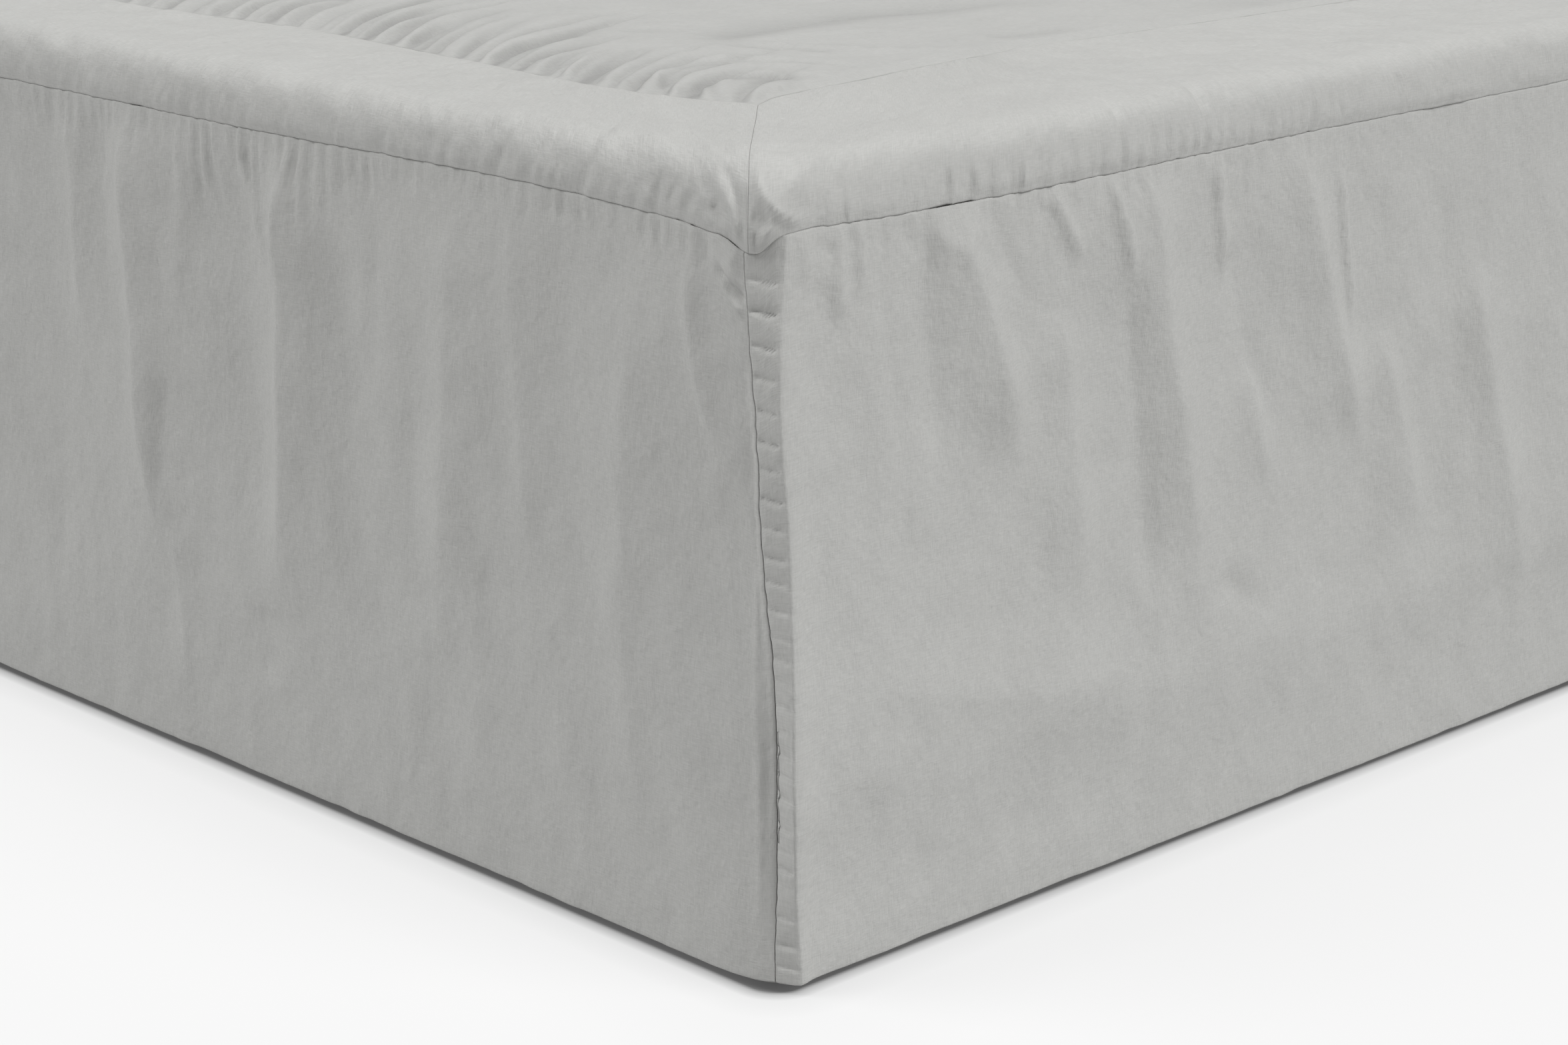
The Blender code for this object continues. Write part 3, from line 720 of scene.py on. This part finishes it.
BAND_PUCKERS = ridges(
    # by the mitre on the foot band
    (-16, 25, -3, 8, -2, 4.5, 4, -2.2),
    (-3, 9, -4, 1, 0, 2.2, 2.2, -0.9),
    (-22, 11, -17, 4, 0, 3.4, 3.4, -1.9),
    (-34, 13, -42, 3, 0, 2.6, 2.6, -1.2),
    (-46, 15, -54, 5, 0, 2.6, 2.6, -1),
    (-12, 15, -6, 1, 0, 2.4, 2.4, 1.3),
    (-27, 3, -11, 2, 0, 3.6, 3.6, 1.5),
    (-29, 14, -37, 2, 0, 2.6, 2.6, 1),
    (-40, 15, -48, 4, 0, 2.4, 2.4, 0.8),
    (-56, 17, -63, 5, 0, 3, 3, -0.8),
    # by the mitre on the side band
    (2, 12, 11, 7, 0, 3.6, 3.6, -1.5),
    (3, 7, 7, -3, 0.8, 1.6, 1.4, -1.6),
    (5, 24, 31, 2, 4.5, 1.8, 3.2, 2.6),
    (6, 16, 24, 1, 3, 3.2, 3, -1.3),
    (13, 24, 33, 7, 2, 3, 2.6, -0.9),
    (8, 5, 17, 1, 0, 5, 4, 1.4),
    (34, 14, 37, 2, 0, 3, 3, -0.7),
    (42, 18, 45, 3, 0, 2.6, 2.6, 0.7),
    (1, 38, 38, 27, -3, 3, 3, 0.9),
    (4, 43, 40, 32, -3, 3, 3, -0.7),
    (5, 53, 50, 35, -3, 3.4, 3.4, 0.7),
    (2, 62, 36, 50, -2, 3.4, 3.4, -0.4),
)

BAND_GATHERS = {
    1: (
        (-630, -300, 10.5, 26, 2.2, 0.9),
        (-300, -70, 9.5, 25, 2.6, 1.5),
        (44, 110, 10.0, 15, 2.2, 1.2),
        (110, 400, 9.5, 18, 2.3, 1.9),
        (400, 640, 15.0, 14, 2.2, 0.54),
        (640, 1980, 40.0, 22, 8.0, 1.1),
    ),
    -1: (
        (-740, -60, 26.0, 22, 6.0, 0.6),
        (44, 1980, 40.0, 22, 8.0, 0.6),
    ),
}


def leaning(rows, lean):
    return [row._replace(x1=row.x1 + lean * (row.y1 - row.y0)) for row in rows]


def band_inset(past):
    """How far in from the wall's ring a band ends, at the deck's seam."""
    turn = np.clip(past / CORNER_RADIUS, 0, math.pi / 2)
    inset = np.full(np.shape(past), INNER_Y)
    for _ in range(6):
        x, y = plan(past, inset)
        foot = along_curve(FOOT_SEAM, -x)
        side = along_curve(SIDE_SEAM, y) - CORNER_RADIUS * (1 - np.sin(turn))
        inset = np.where(past <= 0, foot, side)
    return inset


def band_relief(past, rise, sign):
    at = from_corner(past)
    foot_rows = [row for row in gathers(31 + sign, BAND_GATHERS[sign]) if row.x0 < 0]
    side_rows = [row for row in gathers(31 + sign, BAND_GATHERS[sign]) if row.x0 > 0]
    relief = ridge_height(at, rise, leaning(foot_rows, 0.35) + side_rows)
    if sign > 0:
        relief += ridge_height(past, rise, BAND_PUCKERS)
    relief += 1.0 * noise(at / 60, rise / 45, 41 + sign)
    relief += 0.8 * noise(at / 21 + rise / 60, rise / 19, 43 + sign)
    relief += 0.42 * noise(at / 9 + rise / 25, rise / 9, 45 + sign)
    relief += 0.13 * noise(at / 4, rise / 4, 47 + sign)
    return relief * smooth((past + FOOT_HALF) / MIDDLE_FADE)


def band_points(past, share, lip, tuck, end_tuck, sign):
    """Points of a band's outer face. share runs from 0 at the lower seam over the roll, which ends at 0.5, to
    1 at the deck. lip is how far the row has turned in under the lower edge."""
    reach = band_inset(past) - ROLL_RADIUS
    rise = np.where(share <= 0.5, 2 * share * ROLL_ARC, ROLL_ARC + (2 * share - 1) * reach)
    bulge = BAND_BULGE * smooth(rise / BAND_BULGE_RISE + 0.35) * smooth((ROLL_ARC - rise) / 32)
    loft = BAND_LOFT * smooth(rise / 50) * smooth((reach + ROLL_ARC - rise) / 9)
    turn = np.minimum(rise, ROLL_ARC) / ROLL_RADIUS
    loft = loft + ROLL_SQUARE * np.sin(2 * turn) ** 2
    hold = smooth((reach + ROLL_ARC - rise) / 5) * (0.25 + 0.75 * smooth((rise + 2) / 9))
    out = bulge + loft + band_relief(past, rise, sign) * (0.25 + 0.75 * hold) - tuck - end_tuck
    turned_in = BAND_LIP_RADIUS * (1 - np.cos(lip * BAND_LIP_TURN))
    radius = ROLL_RADIUS + out - turned_in
    inset = ROLL_RADIUS - radius * np.cos(turn) + np.maximum(rise - ROLL_ARC, 0)
    x, y = plan(past, inset)
    sag = (seam_sag(past) - SEAM_SPLIT - BAND_LIP_RADIUS) * (1 - turn / (math.pi / 2)) ** 1.5
    z = SEAM_HEIGHT + radius * np.sin(turn) - sag - BAND_LIP_RADIUS * np.sin(lip * BAND_LIP_TURN)
    return to_frame(x, y, z, sign), rise


def band_rows(roll_pitch, flat_pitch):
    """(share, lip, tuck) for each row of a band, from inside the lower seam to inside the deck's seam."""
    rows = [(0, 1.0, 0), (0, 0.7, 0), (0, 0.4, 0), (0, 0.18, 0)]
    rows += [(share, 0, 0) for share in stretch((0, 0.5, roll_pitch), (0.5, 0.985, flat_pitch))]
    rows += [(0.993, 0, 0.01), (0.998, 0, 0.04), (1.0, 0, 0.18)]
    return np.array(rows)


def band_patch(past, end_tuck, rows, sign):
    share, lip, tuck = (column[:, None] for column in rows.T)
    past = np.broadcast_to(past, (len(rows), len(past)))
    points, rise = band_points(past, share, lip, tuck, end_tuck, sign)
    uv = np.stack(np.broadcast_arrays(sign * past, rise - TURNED_CLOTH * lip), axis=-1)
    return points, uv


def make_band_foot(material):
    rows = band_rows(0.021, 0.016)
    edge = turned_columns(-1)
    places = stretch((-FOOT_HALF, -45, 12), (-45, -2, 4))
    left, left_uv = band_patch(*with_edge(places, edge, MITRE_DEPTH), rows, -1)
    places = stretch((-FOOT_HALF, -640, 14), (-640, -70, 2.3), (-70, -2, 1.5))
    right, right_uv = band_patch(*with_edge(places, edge, MITRE_DEPTH), rows, 1)
    return add_grid("foot_band", halves(left, right), halves(left_uv, right_uv), CLOTH_THICKNESS, material)


def make_band_side(name, sign, material):
    edge = turned_columns(1)
    if sign > 0:
        rows = band_rows(0.021, 0.014)
        places = stretch((2, 60, 1.4), (60, 620, 2.3), (620, HEAD_PAST, 14))
    else:
        rows = band_rows(0.035, 0.03)
        places = stretch((2, 45, 4), (45, HEAD_PAST, 14))
    past = np.concatenate([edge[:, 0], places])
    tuck = np.concatenate([edge[:, 1] * MITRE_DEPTH, np.zeros(len(places))])
    points, uv = band_patch(past, tuck, rows, sign)
    if sign < 0:
        points, uv = points[:, ::-1], uv[:, ::-1]
    return add_grid(name, points, uv, CLOTH_THICKNESS, material)


# ------------------------ deck

# Creases in the deck, by their distances in from the right wall and from the foot wall.
DECK_CREASES = ridges(
    (515, 106, 502, 236, 36, 6, 6, -2.2),
    (500, 106, 492, 220, 30, 9, 8, 1.6),
    (565, 104, 592, 165, 4, 6, 5, -1.4),
    (580, 104, 606, 160, 4, 5, 5, 1),
    (430, 107, 466, 192, 4, 4, 4, -1.5),
    (404, 105, 462, 197, 5, 4, 4, -1.8),
    (374, 103, 446, 226, 6, 4, 5, -1.6),
    (390, 104, 452, 208, 6, 4, 4, 1.2),
    (340, 100, 411, 216, 5, 5, 5, -1.4),
    (356, 102, 425, 214, 5, 5, 5, 1.1),
    (305, 98, 350, 206, 5, 5, 5, -1.6),
    (322, 98, 372, 196, 4, 5, 5, 1.1),
    (275, 98, 300, 160, 3, 5, 5, -1.2),
    (288, 98, 318, 168, 3, 4, 4, 0.9),
    (236, 98, 283, 178, 5, 4, 5, -1.6),
    (250, 98, 291, 164, 4, 4, 4, 1.1),
    (205, 98, 230, 202, 10, 4, 5, -1.6),
    (218, 98, 246, 190, 9, 4, 4, 1.2),
    (178, 98, 166, 218, 46, 4, 4, -1.7),
    (184, 98, 172, 226, 50, 3.5, 3.5, 1.4),
    (166, 101, 192, 160, 4, 3.5, 3.5, -1.2),
    (157, 104, 144, 190, 32, 4, 4, 1.4),
    (150, 106, 146, 180, 34, 3.4, 3.4, -1.6),
    (176, 140, 152, 168, 8, 13, 11, -1.8),
    (254, 214, 206, 239, 10, 5, 5, -1.5),
    (256, 236, 162, 296, -4, 4, 3.5, 1.5),
    (245, 248, 168, 300, -4, 6, 5, -0.8),
    (282, 225, 262, 452, 26, 17, 16, -2),
    (262, 240, 248, 330, 5, 14, 12, 1.1),
    (330, 215, 340, 232, 0, 12, 12, -1),
    (190, 340, 176, 392, 0, 12, 12, -1.2),
    (228, 500, 160, 545, 0, 14, 12, -1.4),
    (470, 300, 330, 420, 8, 20, 22, 1.6),
)
# Creases that fan out from the foot's seam: (pitch, half width, depths, lengths, seed).
DRAWN_CREASES = (
    (21.0, 3.6, (2.4, 7.0), (60.0, 200.0), 71),
    (11.0, 2.6, (0.6, 2.8), (25.0, 90.0), 75),
)
# The stretch of the seam that they leave from, and the one over which they are numbered.
DRAWN_FROM, DRAWN_TO = 100.0, 790.0
DRAWN_SPAN = 1000.0
# How far they lean, and how much more they lean at first, over what distance.
DRAWN_LEAN, DRAWN_TURN, DRAWN_TURN_REACH = 0.26, 0.46, 65.0
# How sharp they are, and how deep one must be to take the full painted shade.
DRAWN_SHARPNESS, DRAWN_DEPTH = 1.25, 6.5
# The cloth between them puffs up by this much at the seam, and less further in.
PUFF, PUFF_REACH = 2.6, 150.0
# The deck rises by this much past its seams, lies this far from the bands and clears the base by this much.
DECK_LOFT, DECK_GAP, DECK_CLEAR = 2.4, 0.04, 0.15


def drawn_creases(in_x, in_y):
    """Sharp creases that leave the foot's seam away from the corner and then turn towards the head: how far
    they lift the cloth, and how deep in a crease each place lies, from 0 to 1, which sets the painted shade
    in the creases."""
    far = np.maximum(in_y - along_curve(FOOT_SEAM, in_x), 0)
    turned = DRAWN_TURN * DRAWN_TURN_REACH * (1 - np.exp(-far / DRAWN_TURN_REACH))
    start = in_x - DRAWN_LEAN * far - turned
    relief = PUFF * np.exp(-((far / PUFF_REACH) ** 2)) * smooth(far / 50 + 0.1)
    painted_crease_shade = np.zeros(start.shape)
    for pitch, half, depths, lengths, seed in DRAWN_CREASES:
        chance = np.random.RandomState(seed)
        count = int(DRAWN_SPAN / pitch)
        depth, length = chance.uniform(*depths, count), chance.uniform(*lengths, count)
        place = start / pitch + 0.42 * noise(start / (2.1 * pitch), far / 85, seed + 1) + 4
        which = np.clip(place.astype(int), 0, count - 1)
        off = np.abs(place - which - 0.5) * pitch
        groove = np.exp(-((off / half) ** DRAWN_SHARPNESS))
        fade = smooth((length[which] - far) / (0.7 * length[which]))
        cut = depth[which] * groove * fade * smooth(1.25 - off / (0.5 * pitch))
        relief -= cut
        painted_crease_shade += cut / DRAWN_DEPTH
    drawn = smooth((start - DRAWN_FROM) / 40) * smooth((DRAWN_TO - start) / 120)
    return relief * drawn, np.clip(painted_crease_shade * drawn, 0, 1)


def deck_relief(in_x, in_y, edge):
    """How far the deck's creases lift it, and how deep in them each place lies, from 0 to 1, which sets the
    painted shade in them. edge is the distance to the nearest seam."""
    drawn, painted_crease_shade = drawn_creases(in_x, in_y)
    creased = ridge_height(in_x, in_y, DECK_CREASES)
    # The hollows of the listed creases get painted shade as well.
    painted_crease_shade = painted_crease_shade + np.clip(-creased / 4.0, 0, 1)
    relief = 1.2 * creased + drawn
    relief += 1.0 * noise(in_x / 120, in_y / 90, 61)
    relief += 0.7 * noise((in_x - in_y) / 60, (in_x + in_y) / 220, 63)
    rippled = noise((in_x + 0.4 * in_y) / 16, (in_y - 0.4 * in_x) / 70, 65)
    relief += 0.35 * rippled * smooth((900 - in_y) / 500)
    relief += 0.16 * noise(in_x / 11, in_y / 13, 67)
    relief += 0.06 * noise(in_x / 4.5, in_y / 4.5, 69)
    return DECK_LOFT * smooth(edge / 12) + relief * (0.12 + 0.88 * smooth(edge / 9)), np.clip(painted_crease_shade, 0, 1)


def make_deck(material):
    across = stretch((0, 0.5, 0.025), (0.5, 0.996, 0.00135))
    across = np.concatenate([across, [0.9975, 0.9988, 1.0]])
    down = stretch((0.002, 0.01, 0.0013), (0.01, 0.085, 0.0021), (0.085, 0.2, 0.0048), (0.2, 1, 0.028))
    down = np.concatenate([[0, 0.0006, 0.0012], down])
    u, v = across[None, :], down[:, None]
    y = np.broadcast_to(INNER_Y + v * (WALL_Y + HEAD_END - INNER_Y), (len(down), len(across)))
    for _ in range(4):
        inset = along_curve(SIDE_SEAM, y) + DECK_GAP
        x = -WALL_X + (WALL_X - inset) * (2 * u - 1)
        from_side = WALL_X - np.abs(x + WALL_X)
        foot = along_curve(FOOT_SEAM, from_side) + DECK_GAP
        y = foot + v * (WALL_Y + HEAD_END - foot)
    edge = np.minimum(y - foot, from_side - inset)
    relief, painted_crease_shade = deck_relief(-x, y, edge)
    z = TOP_HEIGHT + relief * smooth((edge + 0.4) / 3.0) - 0.14 * (1 - smooth(edge / 1.6)) ** 2
    z = np.maximum(z, BASE_HIGH[2] + DECK_THICKNESS + DECK_CLEAR)
    points = to_frame(x, y, z, 1)
    uv = np.stack(np.broadcast_arrays(x, y), axis=-1)
    piece = add_grid("deck_panel", points, uv, DECK_THICKNESS, material)
    # The crease attribute carries the painted shade in the deck's creases.
    layer = piece.data.attributes.new("crease", "FLOAT", "POINT")
    layer.data.foreach_set("value", painted_crease_shade.astype(np.float32).ravel())
    return piece


# ------------------------ materials


def add_node(nodes, kind, inputs=()):
    node = nodes.new("ShaderNode" + kind)
    for name, value in dict(inputs).items():
        node.inputs[name].default_value = value
    return node


def new_material(name, color, roughness):
    """A material, its nodes, its links and its shader."""
    material = bpy.data.materials.new(name)
    material.use_nodes = True
    nodes = material.node_tree.nodes
    shader = nodes["Principled BSDF"]
    shader.inputs["Base Color"].default_value = (*color, 1)
    shader.inputs["Roughness"].default_value = roughness
    return material, nodes, material.node_tree.links, shader


def math_maker(nodes, links):
    """A function that adds a math node and returns its output. Its values are numbers or other outputs."""

    def math_node(operation, *values):
        node = add_node(nodes, "Math")
        node.operation = operation
        for k, value in enumerate(values):
            if isinstance(value, (int, float)):
                node.inputs[k].default_value = value
            else:
                links.new(value, node.inputs[k])
        return node.outputs[0]

    return math_node


def add_bump(nodes, links, shader, height, strength, distance):
    relief = add_node(nodes, "Bump", {"Strength": strength, "Distance": distance * MM})
    links.new(height, relief.inputs["Height"])
    links.new(relief.outputs["Normal"], shader.inputs["Normal"])


def floor_material():
    """Glows white all round the bed, and darker close up to its hem: a painted shadow."""
    material, nodes, links, shader = new_material("floor", FLOOR_COLOR, 0.9)
    math_node = math_maker(nodes, links)
    place = add_node(nodes, "TexCoord")
    split = add_node(nodes, "SeparateXYZ")
    links.new(place.outputs["Object"], split.inputs[0])
    out_x, out_y = (
        math_node("SUBTRACT", math_node("ABSOLUTE", split.outputs[axis]), (wall - CORNER_RADIUS) * MM)
        for axis, wall in enumerate((WALL_X, WALL_Y))
    )
    squares = [math_node("POWER", math_node("MAXIMUM", out, 0.0), 2) for out in (out_x, out_y)]
    outside = math_node("SQRT", math_node("ADD", *squares))
    inside = math_node("MINIMUM", math_node("MAXIMUM", out_x, out_y), 0.0)
    distance = math_node("SUBTRACT", math_node("ADD", outside, inside), CORNER_RADIUS * MM)
    first, last = FLOOR_GLOW_AND_PAINTED_SHADOW[0][0], FLOOR_GLOW_AND_PAINTED_SHADOW[-1][0]
    share = math_node("DIVIDE", math_node("SUBTRACT", distance, first * MM), (last - first) * MM)
    ramp = add_node(nodes, "ValToRGB")
    links.new(share, ramp.inputs[0])
    stops = ramp.color_ramp.elements
    stops.remove(stops[1])
    for k, (at, glow) in enumerate(FLOOR_GLOW_AND_PAINTED_SHADOW):
        stop = stops[0] if k == 0 else stops.new((at - first) / (last - first))
        stop.position = (at - first) / (last - first)
        stop.color = (glow, glow, glow, 1)
    # The glow is emission, which fades close to the hem into a painted shadow.
    links.new(ramp.outputs[0], shader.inputs["Emission Color"])
    shader.inputs["Emission Strength"].default_value = 1.0
    return material


def linen_group():
    """Plain weave with slubs and fine crumples: a colour factor and a height, from the place in the cut cloth
    in metres."""
    tree = bpy.data.node_groups.new("linen_weave", "ShaderNodeTree")
    sockets = {"Cloth": "NodeSocketVector", "Thread": "NodeSocketFloat", "Slub": "NodeSocketFloat"}
    for name, kind in sockets.items():
        tree.interface.new_socket(name, in_out="INPUT", socket_type=kind)
    for name in ("Shade", "Height"):
        tree.interface.new_socket(name, in_out="OUTPUT", socket_type="NodeSocketFloat")
    nodes, links = tree.nodes, tree.links
    start, end = nodes.new("NodeGroupInput"), nodes.new("NodeGroupOutput")
    math_node = math_maker(nodes, links)

    def streaks(scale_u, scale_v, detail, seed):
        """Noise from 0 to 1, with so many turns in a metre each way."""
        place = {"Location": (seed, seed * 0.7, 0), "Scale": (scale_u, scale_v, 1)}
        mapping = add_node(nodes, "Mapping", place)
        links.new(start.outputs["Cloth"], mapping.inputs["Vector"])
        node = add_node(nodes, "TexNoise", {"Scale": 1, "Detail": detail, "Roughness": 0.6})
        node.noise_dimensions = "2D"
        links.new(mapping.outputs["Vector"], node.inputs["Vector"])
        return node.outputs["Fac"]

    split = add_node(nodes, "SeparateXYZ")
    links.new(start.outputs["Cloth"], split.inputs[0])
    per_metre = math_node("DIVIDE", 2 * math.pi, start.outputs["Thread"])
    threads = [math_node("SINE", math_node("MULTIPLY", split.outputs[way], per_metre)) for way in range(2)]
    weave = math_node("MULTIPLY", *threads)
    across = streaks(170, 1500, 3, 3.1)
    up = streaks(1500, 170, 3, 7.7)
    blotch = streaks(30, 24, 4, 1.3)
    crumple = streaks(95, 75, 2, 5.3)
    pucker = streaks(330, 240, 2, 9.1)
    slubs = math_node("ADD", math_node("SUBTRACT", across, 0.5), math_node("SUBTRACT", up, 0.5))
    shade = math_node("MULTIPLY", slubs, start.outputs["Slub"])
    shade = math_node("ADD", shade, math_node("MULTIPLY", math_node("SUBTRACT", blotch, 0.5), 0.09))
    links.new(math_node("ADD", shade, 1.0), end.inputs["Shade"])
    height = math_node("MULTIPLY", weave, 0.15)
    for layer, amount in ((slubs, 1.2), (crumple, 8.0), (pucker, 2.6)):
        height = math_node("ADD", height, math_node("MULTIPLY", layer, amount))
    links.new(height, end.inputs["Height"])
    return tree


def linen_material(name, group, color, thread, slub, bump, crease=0.0):
    """thread is the pitch of the weave and bump its relief, in millimetres, and slub how strongly the slubs
    are coloured. crease is how much painted shade darkens the cloth in its deepest creases, where it has a
    crease attribute."""
    material, nodes, links, shader = new_material(name, color, 0.92)
    shader.inputs["Specular IOR Level"].default_value = 0.25
    uv = add_node(nodes, "UVMap")
    uv.uv_map = "cloth"
    weave = add_node(nodes, "Group")
    weave.node_tree = group
    weave.inputs["Thread"].default_value = thread * MM
    weave.inputs["Slub"].default_value = slub
    links.new(uv.outputs["UV"], weave.inputs["Cloth"])
    tint = add_node(nodes, "VectorMath")
    tint.operation = "SCALE"
    tint.inputs[0].default_value = color
    shade = weave.outputs["Shade"]
    if crease:
        # Painted shade: the colour darkens in the deck's creases.
        painted_crease_shade = add_node(nodes, "Attribute")
        painted_crease_shade.attribute_name = "crease"
        shade = math_maker(nodes, links)("MULTIPLY_ADD", painted_crease_shade.outputs["Fac"], -crease, shade)
    links.new(shade, tint.inputs["Scale"])
    links.new(tint.outputs[0], shader.inputs["Base Color"])
    add_bump(nodes, links, shader, weave.outputs["Height"], 1.0, bump)
    return material


TICKING_COLOR = (0.6, 0.59, 0.56)
TICKING_STRIPE = (0.5, 0.5, 0.49)
TICKING_PITCH = 24.0


def ticking_material():
    """The base's cover: a coarse twill with a faint stripe."""
    material, nodes, links, shader = new_material("base_ticking", TICKING_COLOR, 0.88)
    place = add_node(nodes, "TexCoord")
    stripes = add_node(nodes, "TexWave", {"Scale": math.pi / (10 * TICKING_PITCH * MM), "Distortion": 0.0})
    stripes.bands_direction = "DIAGONAL"
    # without the height, so that the stripes stand upright
    flat = add_node(nodes, "Mapping", {"Scale": (1, 1, 0)})
    links.new(place.outputs["Object"], flat.inputs["Vector"])
    links.new(flat.outputs["Vector"], stripes.inputs["Vector"])
    ramp = add_node(nodes, "ValToRGB")
    for stop, at, color in zip(ramp.color_ramp.elements, (0.86, 0.9), (TICKING_COLOR, TICKING_STRIPE)):
        stop.position = at
        stop.color = (*color, 1)
    links.new(stripes.outputs["Fac"], ramp.inputs[0])
    links.new(ramp.outputs[0], shader.inputs["Base Color"])
    twill = add_node(nodes, "TexNoise", {"Scale": 900, "Detail": 2})
    links.new(place.outputs["Object"], twill.inputs["Vector"])
    add_bump(nodes, links, shader, twill.outputs["Fac"], 0.6, 0.4)
    return material


LINEN_COLOR = (0.425, 0.425, 0.412)
DECK_COLOR = (0.41, 0.41, 0.398)
# How much painted shade darkens the deck's deepest creases.
DECK_CREASE_PAINTED_SHADE = 0.3

# For the cut sizes: how far in from the walls the deck's seams are taken to lie, and how much longer a
# drop is than what hangs.
CUT_SIDE, CUT_FOOT = 150.0, 100.0
CUT_EXTRA = 2.0


def make_floor():
    mesh = bpy.data.meshes.new("floor")
    half = FLOOR_HALF * MM
    corners = [(-half, -half, 0), (half, -half, 0), (half, half, 0), (-half, half, 0)]
    mesh.from_pydata(corners, [], [(0, 1, 2, 3)])
    mesh.materials.append(floor_material())
    floor = add_object("floor", mesh)


def main():
    make_camera()
    make_light()
    weave = linen_group()
    band = linen_material("band_linen", weave, LINEN_COLOR, 0.62, 0.22, 0.1)
    drop = linen_material("drop_linen", weave, LINEN_COLOR, 0.62, 0.22, 0.1)
    panel = linen_material("deck_linen", weave, DECK_COLOR, 0.5, 0.16, 0.09, DECK_CREASE_PAINTED_SHADE)
    around, along = 2 * WALL_X, WALL_Y + HEAD_END
    deck = (around - 2 * CUT_SIDE, along - CUT_FOOT)
    foot_band = (around, CUT_FOOT + ROLL_ARC - ROLL_RADIUS)
    side_band = (along, CUT_SIDE + ROLL_ARC - ROLL_RADIUS)
    foot_drop, side_drop = ((width, DROP_LENGTH + CUT_EXTRA) for width in (around, along))
    pieces = (
        # piece, node, slot, cut size, how it is held, what it rests on
        (make_deck(panel), "deck", "deck_linen", deck, "laid", ["base"]),
        (make_band_foot(band), "band_foot", "band_linen", foot_band, "draped", ["base"]),
        (make_band_side("right_band", 1, band), "band_right", "band_linen", side_band, "draped", ["base"]),
        (make_band_side("left_band", -1, band), "band_left", "band_linen", side_band, "draped", ["base"]),
        (make_drop_foot(drop), "drop_foot", "drop_linen", foot_drop, "hung", ["foot_band"]),
        (make_drop_right(drop), "drop_right", "drop_linen", side_drop, "hung", ["right_band"]),
        (make_drop_left(drop), "drop_left", "drop_linen", side_drop, "hung", ["left_band"]),
    )
    for piece, node, slot, cut, held, rests_on in pieces:
        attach(piece, "root")
        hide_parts(node)
        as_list(rests_on)
    base = frame["nodes"]["base"]
    base.data.materials.clear()
    base.data.materials.append(ticking_material())
    make_floor()


main()
